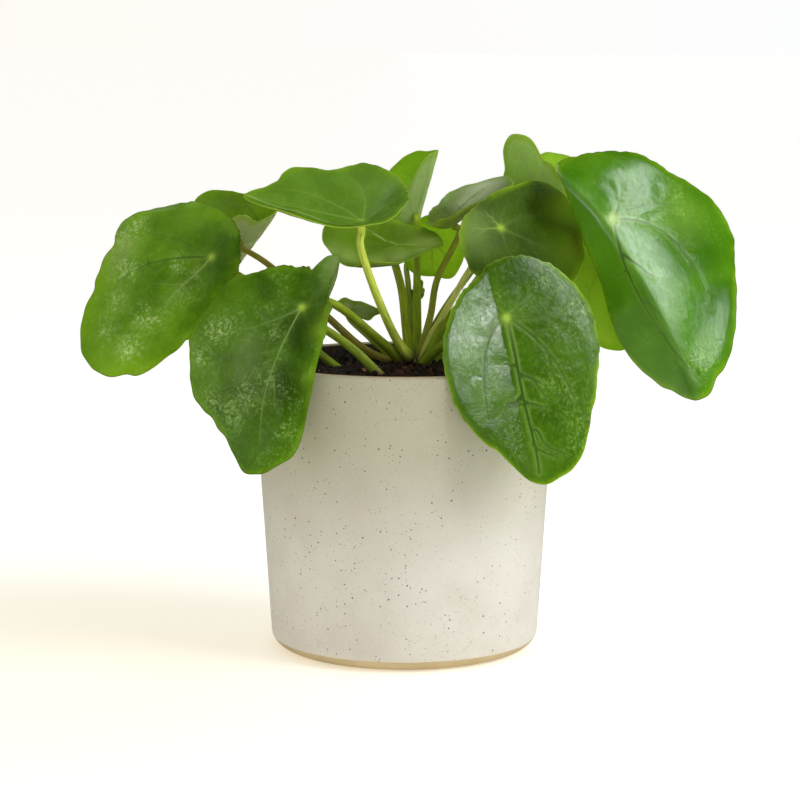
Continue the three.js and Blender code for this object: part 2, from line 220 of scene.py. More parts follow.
# The blades' meshes: the spacing at the rim, how many rings to one such space of the longest rib, the
# fewest spokes and rings, how much the spokes gather, the rows of the rim, and the steps that measure how
# long it is
MESH_SPACING = 0.85
RINGS_TO_SPACE = 0.8
FEWEST_SPOKES = 48
FEWEST_RINGS = 12
SPOKE_GATHERING = 0.4
RIM_ROWS = 4
ROUND_STEPS = 720

# The quilting's height and how far from a vein it sets in, and how softly a flare begins and ends
QUILT_HEIGHT = 0.12
QUILT_REACH = 2.5
FLARE_SOFTNESS = 12

# Swellings of the blades: height and length. Waves of their margins: lengths and depth. The ripple has
# one count of waves round every blade
SWELLS = [(0.12, 16), (0.05, 7)]
SWELLS_OF_EACH = 4
SCALLOP_WAVES = (9, 14, 23)
SCALLOP_DEPTH = 0.3
RIPPLE_WAVES = 6

# The leaves' noises: how many to a millimetre, with detail, roughness and distortion
BROAD_NOISE = (0.07, 3)
STREWN_NOISE = (0.07, 3, 0.6)
FINE_NOISE = (0.8, 4, 0.6)
SQUIGGLE_NOISE = (0.17, 5, 0.7, 2.2)
SPECK_NOISE = (0.8, 2, 0.5)
BLOTCH_NOISE = (0.3, 5, 0.8)
GRAIN_NOISE = (1.2, 3, 0.6, 0.6)
WRINKLE_NOISE = (0.55, 4, 0.65, 0.6)
RIDGE_NOISE = (0.5, 3, 0.6, 1.0)
SHINE_NOISE = (0.4, 4, 0.6)

# How far from a vein, in shares of its width, its colour and its furrow reach; how far in millimetres a
# vein, its pale border with painted highlight and the margin's lines reach on the upper and the lower face
VEIN_EDGE = (0.62, 0.25)
FURROW_EDGE = (1.3, 0)
VEIN_REACH = (1.6, 1.1)
VEIN_BORDER_AND_HIGHLIGHT_REACH = (2.2, 0.5)
RIM_LINE = (0.5, 0.1)
UNDER_MARGIN = (3, 1.5)

# Colours that all leaves share: the hub's star, the lower face's veins and margin, and light through it
STAR_COLOUR = (166, 200, 70)
UNDER_VEIN_COLOUR = (186, 204, 140)
UNDER_MARGIN_COLOUR = (176, 206, 60)
LIT_COLOUR = (190, 226, 40)

# The petioles: their mesh, the gap to the blade, how far they run straight before it, how much they
# thicken at the root and under the blade and over what length, how many grooves and how deep, a way that
# none of them runs, the radius of the skin's pattern and how far apart it lies from leaf to leaf
PETIOLE_SIDES = 20
PETIOLE_STEP = 1.2
PETIOLE_CURVE_STEPS = 20
PETIOLE_GAP = 0.8
PETIOLE_APPROACH = 4
PETIOLE_ROOT_FLARE = (0.35, 5)
PETIOLE_TOP_FLARE = (0.3, 1.5)
PETIOLE_GROOVES = (3, 0.05)
PETIOLE_SIDEWAYS = (0.25, 1, 0.1)
PETIOLE_SKIN_RADIUS = 2
PETIOLE_NOISE_SHIFT = 9.0

# The brown of the root, the streaks' dark and light shares of the stalk's colour, and light in its depth
PETIOLE_ROOT_COLOUR = (96, 86, 40)
PETIOLE_SHADES = (0.72, 1.25)
PETIOLE_DEPTH = dict(Subsurface_Weight=0.25, Subsurface_Radius=(0.6, 1, 0.3), Subsurface_Scale=0.001)

# The petioles' streaks: how many to a millimetre, their detail, and how much they are drawn out
STREAK_NOISE = (2.4, 3)
STREAK_STRETCH = (1, 1, 0.06)

# Veins: the heading that each main vein has at the hub and at its end, the share of the rib that it
# reaches, and its strength
MAIN_VEINS = [
    (0, 0, 0.92, 1),
    (58, 26, 0.82, 0.9), (-58, -26, 0.82, 0.9),
    (104, 86, 0.75, 0.6), (-104, -86, 0.75, 0.6),
    (146, 154, 0.7, 0.5), (-146, -154, 0.7, 0.5),
]

# How far main veins wander in degrees and fade to their ends. The small branches that leave them: at which
# shares of the vein, how far they run and to what share of the rib at most, how sharply they turn away,
# and how strong they are. And how many points these lines have, and those that a leaf states
VEIN_WANDER = 1.5
VEIN_FADING = 0.6
BRANCH_STARTS = (0.34, 0.52, 0.7)
BRANCH_LENGTH = 0.22
BRANCH_END = 0.94
BRANCH_TURN = 9
BRANCH_STRENGTH = 0.45
VEIN_POINTS = 30
BRANCH_POINTS = 12
STATED_BRANCH_POINTS = 16

# A leaf that states nothing else is flat and has this look. First come its slopes and bends in degrees,
# its fold (a heading, a distance, a radius and a turn) and its notches (a heading, a depth and a width in
# degrees), which a negative depth makes a bulge. Then come the colours of its upper and lower face, veins
# and margin. Vein border and highlight, mottle, freckle, paleness and through are the shares of a pale
# border along the veins that is partly a painted highlight on their banks, of the pale mottling, of
# lighter freckles, of veins paler than the leaf, and of light through it.
# Ripple, swell and crinkle are how wavy, swollen and finely wrinkled it is. Gloss is the strength of its
# reflections, rough the range of its roughness, and matte what the crease adds to that. Edge is the light
# margin's width. A star is the hub mark's radius and how far it runs along the veins. Curving is how late
# the veins turn. A vein may end with its own paleness. A branch is a list of headings and shares of the
# rib, and its strength. A patch is a heading, a share of the rib, a radius, a colour and its strength;
# some patches are the leaf's own tints, others painted sheen, painted light or painted shade. A fleck
# gathers the mottling in the same way. A flare turns up the margin between two headings: how wide and
# how high.
PLAIN_LEAF = dict(
    slope=(0,), bend=(0,), fold=None, notches=(), flare=None,
    upper=(88, 138, 20), deep=(66, 112, 10), pale=(160, 198, 84), margin=(130, 176, 20),
    rim=(160, 186, 60), lower=(138, 162, 84), stalk=(140, 162, 40), vein=(44, 80, 6),
    pale_vein=(176, 202, 110), paleness=0, vein_border_and_highlight=0.25, mottle=0.7, freckle=0.25, through=0.22,
    ripple=0.5, swell=1, crinkle=0.6, gloss=0.5, rough=(0.17, 0.3), matte=0, edge=4, star=(1.5, 4),
    curving=1.4, veins=MAIN_VEINS, branches=(), patches_and_painted_light=(), flecks=(),
)

# One entry for each leaf, with the hub, face, tip, ribs and petiole of its solid. So that the outlines
# fit more closely than flat faces can, the notches of 01, 02, 09 and 11, the folds of 09 and 10, the top
# of petiole 04 and the thickness of petioles 07 and 08 differ a little from the solids.
LEAVES = {}
LEAVES["01"] = dict(
    hub=(-74, -24, 157), face=(-0.3, -0.85, 0.42), tip=(-0.72, 0, -0.8),
    radii=(62, 50, 30, 18, 15, 13, 12, 12, 11, 11, 11, 12,
           14, 16, 19, 21.5, 25, 28.5, 33, 42, 45, 49, 58, 66),
    slope=(0, 0, -15, 0), bend=(-12, -5, -20, -8), fold=(84, 1, 8, -50),
    notches=((4, 1.6, 3), (17, 2.2, 4), (292, -1, 4), (304, 2, 3.5), (324, 1.8, 4), (337, -0.8, 5)),
    petiole=((-7, -28, 109), (-20, -27, 122), (-35, -24, 132), (-52, -18, 142)), thick=(1.8, 1.3),
    upper=(112, 160, 26), deep=(78, 124, 14), pale=(200, 224, 146), rim=(84, 96, 30),
    vein_border_and_highlight=0.1, mottle=1, edge=8, gloss=0.08, matte=0.3,
    veins=((2, -3, 0.4, 0.5, 1), (-50, -38, 0.8, 0.7, 0), (-78, -70, 0.7, 0.4, 0),
           (60, 30, 0.7, 0.3, 0), (-120, -124, 0.6, 0.2, 0), (130, 134, 0.6, 0.2, 0)),
    # The dark patches at 100 and 40, on and beyond the fold, are painted shade
    patches_and_painted_light=((0, 0.95, 16, (132, 182, 22), 0.8), (-12, 0.8, 8, (138, 182, 60), 0.5),
             (-20, 0.95, 14, (120, 168, 24), 0.6), (-45, 0.95, 12, (130, 176, 34), 0.5),
             (100, 0.6, 16, (60, 92, 12), 0.7), (40, 0.5, 12, (62, 98, 12), 0.6),
             (0, 0.2, 7, (58, 94, 10), 0.7), (-14, 0.44, 7, (62, 98, 12), 0.5),
             (-54, 0.95, 9, (186, 210, 130), 0.5), (-26, 0.68, 9, (148, 190, 72), 0.5),
             (-102, 0.68, 9, (128, 172, 40), 0.5)),
    flecks=((288, 0.88, 5, 0.9), (318, 0.74, 5, 1), (334, 0.7, 4, 0.8), (326, 0.26, 3, 0.7),
            (354, 0.54, 5, 0.9), (358, 0.76, 5, 1), (344, 0.78, 5, 0.7), (300, 0.98, 6, 1.2)),
)
LEAVES["02"] = dict(
    hub=(-38, -62, 141.5), face=(-0.25, -0.95, 0.16), tip=(-0.3, 0, -1),
    radii=(65, 54, 26, 15, 12.5, 12, 12, 13.5, 18, 25, 28, 26.5,
           18, 16, 16, 18, 20, 24, 32, 36, 45, 50, 55, 57),
    slope=(0, 0, -12, 0), bend=(-5, -5, -15, -10), fold=(95, 1, 5.5, -92), flare=(6, 118, 2.4, 2.4),
    notches=((322, -1, 6), (337, 1.2, 4), (357, -1, 3), (8, 1.4, 5), (136, -3, 12),
             (152, -1.5, 8), (163, 1.4, 5), (175, -1.6, 5), (187, 1.8, 4)),
    petiole=((-1, 0, 113), (-4.5, -3, 117.7), (-12, -12, 125.5), (-23.5, -26, 137), (-31, -42, 142)),
    thick=(2, 1.4),
    upper=(78, 120, 16), deep=(52, 86, 8), pale=(176, 204, 124), margin=(112, 156, 22),
    rim=(96, 116, 34), vein_border_and_highlight=0.1, mottle=0.9, edge=3.5, gloss=0.05,
    veins=((-12, -2, 0.8, 0.4, 1), (-45, -56, 0.6, 0.5, 0.5), (40, 24, 0.7, 0.3, 0),
           (-100, -96, 0.7, 0.4, 0), (120, 126, 0.7, 0.4, 0), (150, 146, 0.7, 0.3, 0)),
    # The grey-green patches at 140 and 158 on the lobe are painted sheen, those at -38 and -25 partly pale
    # mottling and partly painted sheen; the dark patches at 40, 115 and 154, on and beyond the fold, are
    # painted shade
    patches_and_painted_light=((140, 0.75, 9, (140, 164, 96), 0.75), (158, 0.8, 8, (146, 170, 100), 0.7),
             (-40, 0.9, 12, (116, 160, 30), 0.5), (-60, 0.85, 12, (110, 154, 26), 0.45),
             (-72, 0.92, 9, (110, 156, 28), 0.6), (-84, 0.8, 9, (98, 142, 18), 0.5),
             (40, 0.6, 12, (30, 56, 2), 0.8), (6, 0.5, 11, (30, 54, 2), 0.85),
             (-4, 0.86, 8, (92, 134, 36), 0.5), (154, 0.34, 6, (34, 58, 4), 0.7),
             (115, 0.7, 8, (34, 56, 4), 0.85), (-38, 0.5, 8, (112, 134, 74), 0.6),
             (-25, 0.6, 8, (112, 134, 74), 0.6), (-14, 0.68, 8, (92, 122, 44), 0.4),
             (30, 1, 4, (160, 196, 50), 0.8), (60, 1, 4, (160, 196, 50), 0.8),
             (90, 1, 4, (160, 196, 50), 0.7)),
    flecks=((298, 0.68, 4, 1.2), (302, 0.76, 5, 1.2), (312, 0.9, 5, 0.8), (328, 0.26, 4, 0.5),
            (350, 0.48, 5, 0.5), (344, 0.7, 6, 0.8), (342, 0.88, 6, 0.7), (332, 0.9, 5, 0.6),
            (8, 0.8, 4, 0.4)),
)
LEAVES["03"] = dict(
    hub=(-65.5, 14, 159.5), face=(-0.1, 0.95, 0.25), tip=(0.8, 0, -0.6),
    radii=(42, 40, 33, 22, 14, 11, 10.5, 10.5, 10.5, 10.5, 11, 12, 11, 20, 25, 31.5),
    fold=(0, 1.5, 4, 138),
    petiole=((-1, 4, 111), (-16, 6, 118), (-31, 8, 131), (-53, 6, 151)), thick=(1.7, 1.1),
    upper=(120, 164, 20), deep=(98, 136, 14), lower=(222, 230, 166), stalk=(148, 138, 52),
    through=0.35, gloss=0.2,
)
LEAVES["04"] = dict(
    hub=(-16.5, -26, 171), face=(0, -0.26, 0.96), tip=(-1, 0, 0),
    radii=(46, 38, 26, 20, 16, 15.5, 16, 17.5, 20, 21, 25, 30, 33, 32, 40, 39),
    slope=(10, 0, 14, 20, 30, 24, 22, 16), bend=(6, 40, 4, 0, 0, 5, 10, 8),
    petiole=((2, -2, 115), (-4, -8, 125), (-9.8, -17, 139), (-14.3, -23.5, 152), (-17, -26, 162)),
    thick=(1.8, 1.4),
    upper=(108, 152, 44), deep=(98, 140, 36), pale_vein=(166, 194, 108), stalk=(206, 220, 84),
    paleness=1, mottle=0.3, ripple=0.2, gloss=0.06,
    veins=((-6, -2, 0.96, 0.5), (58, 26, 0.8, 0.3), (-50, -22, 0.85, 0.35), (104, 86, 0.7, 0.3),
           (-104, -80, 0.8, 0.4), (146, 154, 0.7, 0.3), (-146, -150, 0.8, 0.35)),
    branches=((((-2, 0.98), (2, 0.86), (6, 0.74), (8, 0.54), (22, 0.44), (50, 0.52), (78, 0.62),
                (100, 0.8)), 1),),
    # The dark patches at 20 to 70 along the near margin are painted shade
    patches_and_painted_light=((20, 0.8, 4, (88, 112, 24), 0.8), (32, 0.84, 5, (88, 112, 24), 0.8),
             (50, 0.85, 5, (88, 112, 24), 0.8), (70, 0.9, 5, (88, 112, 24), 0.8)),
)
LEAVES["05"] = dict(
    hub=(-3.9, 4, 159), face=(0.1, -0.1, 1), tip=(-1, 0, 0),
    radii=(29, 27.5, 27, 28, 21, 18, 18, 18.5, 19, 19, 17.5, 15, 15, 18, 23, 28),
    slope=(-4, -42, -62, -14, 8, 26, 42, 20), bend=(25, 72, 170, 75, 10, 0, 0, 20),
    petiole=((2, 3, 113), (0.6, 3, 126), (-1.2, 3, 142)), thick=(1.8, 1.5),
    upper=(122, 162, 32), deep=(98, 134, 18), vein=(112, 150, 26), pale_vein=(166, 192, 104),
    stalk=(158, 172, 34), paleness=1, mottle=0.15, ripple=0.1, gloss=0.08, star=(0.01, 0.01),
    veins=((0, 0, 0.9, 0.3, 0), (-58, -26, 0.8, 0.2, 0), (58, 26, 0.8, 0.2, 0)),
    branches=((((326, 0.6), (322, 0.44), (316, 0.24), (228, 0.08), (186, 0.32), (190, 0.64),
                (198, 1)), 1),),
    patches_and_painted_light=((20, 0.95, 5, (180, 208, 104), 0.8), (30, 0.8, 5, (180, 208, 104), 0.8),
             (56, 0.5, 5, (176, 204, 100), 0.8), (104, 0.54, 5, (176, 204, 100), 0.8),
             (146, 0.8, 6, (180, 208, 104), 0.8), (180, 0.75, 8, (180, 206, 96), 0.8)),
)
LEAVES["06"] = dict(
    hub=(4.5, 21, 169.8), face=(-0.1, 0.97, 0.2), tip=(0.25, 0, 1),
    radii=(27, 27, 27, 26, 23, 18, 13, 8, 5, 6, 7, 8, 8.5, 9.5, 11.5, 14.5),
    fold=(90, 0.3, 1.6, 135),
    petiole=((4, 6, 113), (5, 9, 122), (5, 15, 141), (5, 20.5, 157)), thick=(1.8, 1.3),
    upper=(160, 210, 34), deep=(144, 194, 26), lower=(212, 230, 160), stalk=(152, 176, 34),
    mottle=0.2, through=0.5, gloss=0.2,
)
LEAVES["07"] = dict(
    hub=(19.3, 13, 167.2), face=(-0.5, -0.15, 0.75), tip=(0.8, 0, 0.6),
    radii=(29, 29, 23, 18, 15, 13.5, 12, 11, 11, 11, 11, 11, 11.5, 13, 17, 24),
    slope=(0, 38, 46, 40), bend=(0, 5, 0, 10),
    petiole=((5, 4, 113), (7.7, 5, 121.7), (10.5, 7, 132), (13.2, 9.5, 146)), thick=(1.45, 1.2),
    upper=(116, 140, 50), deep=(98, 120, 38), lower=(150, 168, 66), stalk=(156, 164, 48),
    mottle=0.2, gloss=0.3, rough=(0.3, 0.4),
    # The pale patches are painted sheen
    patches_and_painted_light=((30, 0.8, 11, (216, 222, 176), 0.6), (38, 0.56, 6, (210, 220, 160), 0.45)),
)
LEAVES["08"] = dict(
    hub=(37, -16, 167.5), face=(0.32, -0.82, 0.5), tip=(0.9, 0, -0.35),
    radii=(36, 36, 35, 32, 22, 16, 13.5, 13, 14, 16, 18, 21, 24, 28, 32, 35),
    bend=(-10, -10, -25, -10),
    petiole=((6, 1, 112), (10.5, -1, 123.7), (14.6, -4, 131.3), (19.8, -6, 140.7), (26, -8, 151.6)),
    thick=(1.45, 1.1),
    upper=(64, 94, 12), deep=(46, 70, 6), pale=(120, 150, 60), stalk=(214, 218, 112),
    vein_border_and_highlight=0.1, mottle=0.5, freckle=0.08, through=0.1, gloss=0.03,
    veins=((4, 0, 0.9, 0.5, 0.2), (60, 34, 0.8, 0.4, 0.2), (-58, -30, 0.8, 0.4, 0.2),
           (150, 152, 0.7, 0.4, 1), (-150, -152, 0.7, 0.4, 1), (104, 92, 0.7, 0.3, 0.3)),
    # The pale patch at 206 is painted sheen, those at 10 and 42 are painted light where leaf 10 shades it;
    # the brown ones are its own tint
    patches_and_painted_light=((-60, 0.9, 10, (110, 84, 20), 0.5), (10, 0.85, 10, (120, 156, 34), 0.8),
             (42, 0.97, 9, (150, 190, 50), 0.8), (206, 0.8, 11, (150, 180, 96), 0.55),
             (20, 1, 5, (140, 100, 30), 0.5)),
    flecks=((74, 0.8, 5, 0.4), (32, 0.74, 6, 0.4), (0, 0.68, 7, 0.5)),
)
LEAVES["09"] = dict(
    hub=(37.3, -69, 138.5), face=(0.25, -0.95, 0.16), tip=(0.2, 0, -1),
    radii=(63, 61, 50, 43, 39, 36, 33, 30, 28, 26, 24.5, 22.5,
           21, 19, 19, 20, 21, 22.5, 25, 29, 33.5, 40, 46, 52),
    slope=(0, 0, -5, 0), bend=(-5, -15, -15, -5), fold=(270, 0.8, 3, -42), notches=((270, -0.9, 45),),
    petiole=((5, 0, 110), (14, -14, 121), (25, -36, 131), (33, -53, 136)), thick=(1.9, 1.4),
    upper=(72, 116, 15), deep=(54, 92, 8), pale=(156, 190, 96), vein_border_and_highlight=0.3, mottle=0.8, ripple=0.05,
    swell=0.2, crinkle=0.28, gloss=0.37, rough=(0.12, 0.17), edge=2.5, curving=0.7,
    veins=((1, -1, 0.94, 1.5), (-75, -23, 0.81, 1.2), (55, 30, 0.8, 0.9), (109, 116, 0.45, 0.9),
           (66, 87, 0.8, 0.6), (-142, -157, 0.95, 0.7)),
    branches=((((-1, 0.46), (-6, 0.53), (-13, 0.6), (-12, 0.72), (-10, 0.84)), 0.9),
              (((0, 0.28), (-6, 0.3), (-14, 0.33), (-24, 0.37), (-30, 0.38)), 0.7),
              (((0, 0.34), (8, 0.37), (14, 0.42), (19, 0.51)), 0.8),
              (((-1, 0.5), (6, 0.53), (13, 0.59)), 0.8),
              (((-1, 0.76), (6, 0.84), (10, 0.9)), 0.6)),
    # The lighter greens at -60, -100, -30 and -135 on the left half are partly painted sheen
    patches_and_painted_light=((0, 0.9, 12, (84, 130, 20), 0.5), (60, 0.9, 16, (96, 140, 26), 0.4),
             (-60, 0.6, 13, (110, 158, 44), 0.8), (-100, 0.6, 13, (110, 158, 44), 0.8),
             (-30, 0.6, 10, (104, 150, 36), 0.7), (-135, 0.6, 9, (104, 150, 36), 0.6),
             (80, 0.6, 14, (44, 72, 6), 0.65), (148, 0.6, 10, (46, 72, 6), 0.65),
             (190, 0.4, 7, (46, 72, 6), 0.6), (-3, 0.9, 5, (120, 160, 60), 0.5)),
    flecks=((122, 0.72, 5, 0.7), (84, 0.82, 7, 0.8), (30, 0.74, 6, 0.6), (26, 0.86, 7, 0.7),
            (24, 0.52, 5, 0.6), (66, 0.58, 5, 0.4), (20, 0.94, 6, 0.6)),
)
LEAVES["10"] = dict(
    hub=(79.5, -24, 171.5), face=(0.3, -0.85, 0.42), tip=(0.45, 0, -0.9),
    radii=(78.5, 75, 65.5, 58, 56, 50, 41, 37, 37, 35, 33.5, 33,
           33, 24, 20, 18, 17, 16, 16, 18, 22, 32, 55, 71),
    slope=(0, 0, -10, 0), bend=(-15, -15, -25, 0), fold=(272, 2.45, 2.5, -70),
    notches=((352, 1, 3), (4, -1.5, 3), (9, 1.5, 3), (98, 0.8, 4)),
    petiole=((6, 2, 110), (11, -2, 120), (18, -4, 132), (42, 4, 153), (60, 8, 164.5),
             (71, 5, 169.5)),
    thick=(1.9, 1.3),
    upper=(86, 146, 18), deep=(74, 132, 12), pale=(160, 204, 90), rim=(96, 92, 40),
    vein=(36, 74, 10), vein_border_and_highlight=0.25, mottle=0.8, ripple=0.15, swell=0.2, crinkle=0.16, gloss=0.55,
    rough=(0.1, 0.14), matte=0.3, star=(2.4, 8),
    veins=((-20, 3, 0.92, 0.9), (66, 25, 0.75, 0.85), (116, 129, 0.45, 0.7), (-60, -50, 0.6, 0.2),
           (-130, -136, 0.6, 0.2), (95, 70, 0.7, 0.5)),
    branches=((((-14, 0.2), (0, 0.27), (7, 0.35)), 0.9), (((48, 0.4), (44, 0.5), (52, 0.58)), 0.7)),
    # The dark patches at 48, 30 and 0 are painted shade, the lighter ones at -50 and -110 on the
    # turned-back flap painted light
    patches_and_painted_light=((70, 0.6, 9, (150, 190, 80), 0.35), (-50, 0.6, 16, (104, 168, 34), 0.7),
             (-110, 0.7, 12, (104, 168, 34), 0.6), (48, 0.66, 14, (44, 98, 0), 0.75),
             (30, 0.85, 12, (50, 102, 0), 0.7), (0, 0.86, 10, (56, 106, 2), 0.6)),
    flecks=((82, 0.72, 5, 1), (72, 0.6, 5, 0.6), (6, 0.82, 6, 1), (10, 0.9, 6, 1), (60, 0.35, 8, 0.3)),
)
LEAVES["11"] = dict(
    hub=(53.8, 26, 178.2), face=(0.2, 0.9, 0.3), tip=(-0.35, 0, 1),
    radii=(27, 19.5, 15, 14, 12.5, 12, 13, 13, 12.5, 12, 12, 12,
           12, 12, 12, 12, 12, 12.5, 13, 13, 14, 15, 17.5, 22),
    slope=(0, 10, 0, 10), notches=((14, -3.5, 9), (346, -1.5, 7)),
    petiole=((6, 5, 112), (12, 8, 127), (24, 11, 145), (40, 17, 164)), thick=(1.5, 1.1),
    upper=(150, 196, 56), lower=(196, 226, 130), mottle=0.2, through=0.5, gloss=0.2,
)
LEAVES["12"] = dict(
    hub=(62, 38, 179.5), face=(0.2, -0.8, 0.6), tip=(0.1, 0, 1),
    radii=(18, 17, 16, 15, 14, 13, 13, 13, 14, 15, 16, 18),
    petiole=((6, 7, 110), (14, 14, 121), (22, 22, 134), (38, 34, 154), (54, 42, 168)),
    thick=(1.5, 1.1),
    upper=(180, 220, 50), deep=(166, 206, 40), lower=(190, 222, 80), vein=(150, 184, 40),
    mottle=0.1, through=0.5, gloss=0.1,
)
LEAVES["13"] = dict(
    hub=(78.5, 4, 150.5), face=(0.35, -0.85, 0.3), tip=(0.1, 0, -1),
    radii=(33.5, 29, 24, 20, 17, 15, 14, 14, 16, 18, 22, 28.5),
    petiole=((6, 4, 109), (18, 6, 119), (38, 9, 133), (60, 12, 146)), thick=(1.6, 1.1),
    upper=(186, 216, 80), deep=(174, 206, 70), lower=(180, 210, 80), vein=(150, 180, 50),
    mottle=0.2, through=0.6, gloss=0.1,
)
LEAVES["14"] = dict(
    hub=(11, 30, 158.5), face=(0.1, -0.9, 0.3), tip=(0, 0, -1),
    radii=(14, 16, 14.5, 13, 12, 11, 11, 11, 12, 13, 14, 14.5),
    petiole=((3, 9, 111), (3.2, 13, 121), (2.6, 17, 130.6), (1.6, 24, 142), (1.5, 32, 151)),
    thick=(1.4, 1),
    upper=(190, 222, 70), deep=(180, 212, 60), lower=(184, 216, 70), vein=(150, 180, 44),
    mottle=0.1, through=0.6, gloss=0.1,
)
LEAVES["15"] = dict(
    hub=(-21, 24, 132), face=(0.3, 0.6, 0.7), tip=(1, 0, -0.2),
    radii=(9, 7.5, 6.5, 6, 6, 6, 7, 7, 7, 6.5, 8, 13),
    petiole=((-1, 8, 110), (-9, 12, 117), (-15, 16, 122)), thick=(1.1, 0.8),
    upper=(196, 206, 160), deep=(180, 192, 140), lower=(216, 222, 180),
    mottle=0.2, through=0.4, gloss=0.2,
)
LEAVES["16"] = dict(
    hub=(-82.5, 2, 142.5), face=(-0.5, -0.75, 0.4), tip=(-0.1, 0, -1),
    radii=(22, 19, 16, 13, 12, 11, 11, 11, 12, 14, 17, 20),
    petiole=((-22, -11, 109), (-36, -8, 120), (-53, -3, 132), (-70, 3, 139)), thick=(1.6, 1.1),
    upper=(180, 208, 60), deep=(164, 196, 44), lower=(184, 210, 80), mottle=0.2, through=0.55,
)
LEAVES["17"] = dict(
    hub=(5.8, 19, 140.3), face=(0.4, -0.6, 0.3), tip=(0.1, 0, 1),
    radii=(5, 4, 2.5, 2.5, 2.5, 3, 4, 3, 2.5, 2.5, 2.5, 4), slope=(0, 40, 0, 40),
    petiole=((5, 14, 109), (5, 17, 124)), thick=(0.9, 0.8),
    upper=(170, 200, 60), lower=(180, 206, 80), mottle=0,
)


def leaf_facts(name):
    """A leaf's measures and look, with the plain leaf's where it states none."""
    return {**PLAIN_LEAF, **LEAVES[name], "name": name, "number": int(name)}


# The blade's surface, the same as the solid's

def unit(values):
    values = np.asarray(values, float)
    return values / np.linalg.norm(values)


def curve_between(a, b, c, d, t):
    """A smooth curve from b to c at shares t of the way, with a before and d after."""
    return b + 0.5 * t * (c - a + t * (2 * a - 5 * b + 4 * c - d + t * (3 * (b - c) + d - a)))


def around_hub(values, angle):
    """A list's value at angles round the hub, on a smooth closed curve through its values."""
    values = np.asarray(values, float)
    count = len(values)
    turn = np.mod(angle / (2 * np.pi), 1) * count
    i = np.floor(turn).astype(int)
    return curve_between(*(values[(i + step) % count] for step in (-1, 0, 1, 2)), turn - i)


def rib_length(leaf, angle):
    """The ribs' lengths at angles round the hub, less the notches near them."""
    length = around_hub(leaf["radii"], angle)
    for place, depth, width in leaf["notches"]:
        away = np.mod(np.degrees(angle) - place + 180, 360) - 180
        length = length - depth * np.exp(-((away / width) ** 2))
    return length


def creased(fold, u, v, w):
    """Flat points of the blade carried round its crease; w is their height over the flat blade."""
    if fold is None:
        return u, v, w
    side, distance, radius, turn = fold
    across = math.radians(side)
    whole = math.radians(abs(turn))
    way = math.copysign(1, turn)
    past = u * math.cos(across) + v * math.sin(across) - distance
    angle = np.clip(past / radius, 0, whole)
    rest = np.maximum(past - radius * whole, 0)
    reach = (radius - way * w) * np.sin(angle) + rest * np.cos(angle)
    rise = way * (radius - (radius - way * w) * np.cos(angle) + rest * np.sin(angle))
    moved = np.where(past > 0, reach - past, 0)
    return u + moved * math.cos(across), v + moved * math.sin(across), np.where(past > 0, rise, w)


def blade_axes(leaf):
    """The blade's own axes: towards the tip, to the side, and out of the upper face."""
    up = unit(leaf["face"])
    tip = np.asarray(leaf["tip"], float)
    tip = unit(tip - (tip @ up) * up)
    return tip, np.cross(up, tip), up


def blade_points(leaf, length, angle, lift):
    """The places of points at lengths and angles from the hub on the flat blade."""
    tip, side, up = blade_axes(leaf)
    u, v, w = creased(leaf["fold"], length * np.cos(angle), length * np.sin(angle), lift)
    far = np.hypot(u, v)
    heading = np.arctan2(v, u)
    slope = np.radians(around_hub(leaf["slope"], heading))
    bend = np.radians(around_hub(leaf["bend"], heading)) / BEND_LENGTH
    step = far / RIB_STEPS
    out = np.zeros_like(far)
    rise = np.zeros_like(far)
    for i in range(RIB_STEPS):
        along = (i + 0.5) * step
        pitch = slope * np.minimum(along / HUB_EASE, 1) + bend * along
        out += np.cos(pitch) * step
        rise += np.sin(pitch) * step
    end = slope * np.minimum(far / HUB_EASE, 1) + bend * far
    out -= w * np.sin(end)
    rise += w * np.cos(end)
    flat = (out * np.cos(heading))[:, None] * tip + (out * np.sin(heading))[:, None] * side
    return np.asarray(leaf["hub"], float) + flat + rise[:, None] * up


# Veins

def polar_line(leaf, headings, shares):
    """Flat places on the blade from headings in degrees and shares of the rib."""
    angle = np.radians(headings)
    length = shares * rib_length(leaf, angle)
    return np.stack([length * np.cos(angle), length * np.sin(angle)], -1)


def side_branch(leaf, number, place, headings, reach, t):
    """A small branch that leaves a main vein and turns to alternate sides."""
    way = 1 if (number + place + leaf["number"]) % 2 else -1
    share = (BRANCH_STARTS[place] + 0.04 * math.sin(3 * number + leaf["number"])) * reach
    heading = np.interp(share / reach, t, headings)
    s = np.linspace(0, 1, BRANCH_POINTS)
    turn = way * (BRANCH_TURN / (share + 0.15)) * s ** 0.7 + 2 * np.sin(5 * s + place)
    grown = share + (min(share + BRANCH_LENGTH, BRANCH_END) - share) * s ** 1.3
    return polar_line(leaf, heading + turn, grown)


def vein_lines(leaf):
    """Each vein's flat line, strength and paleness: main veins, small side ones, the branches given."""
    lines = []
    t = np.linspace(0, 1, VEIN_POINTS)
    for number, (start, end, reach, weight, *own) in enumerate(leaf["veins"]):
        pale = own[0] if own else leaf["paleness"]
        wander = VEIN_WANDER * np.sin(6 * t + number + leaf["number"]) * t
        headings = start + (end - start) * t ** leaf["curving"] + wander
        lines.append((polar_line(leaf, headings, reach * t), weight, pale))
        for place in range(len(BRANCH_STARTS)):
            branch = side_branch(leaf, number, place, headings, reach, t)
            lines.append((branch, BRANCH_STRENGTH * weight, pale))
    for points, weight in leaf["branches"]:
        headings, shares = np.array(points, float).T
        rounded = np.linspace(0, len(points) - 1, STATED_BRANCH_POINTS)
        known = np.arange(len(points))
        line = polar_line(leaf, np.interp(rounded, known, headings), np.interp(rounded, known, shares))
        lines.append((line, weight, leaf["paleness"]))
    return lines


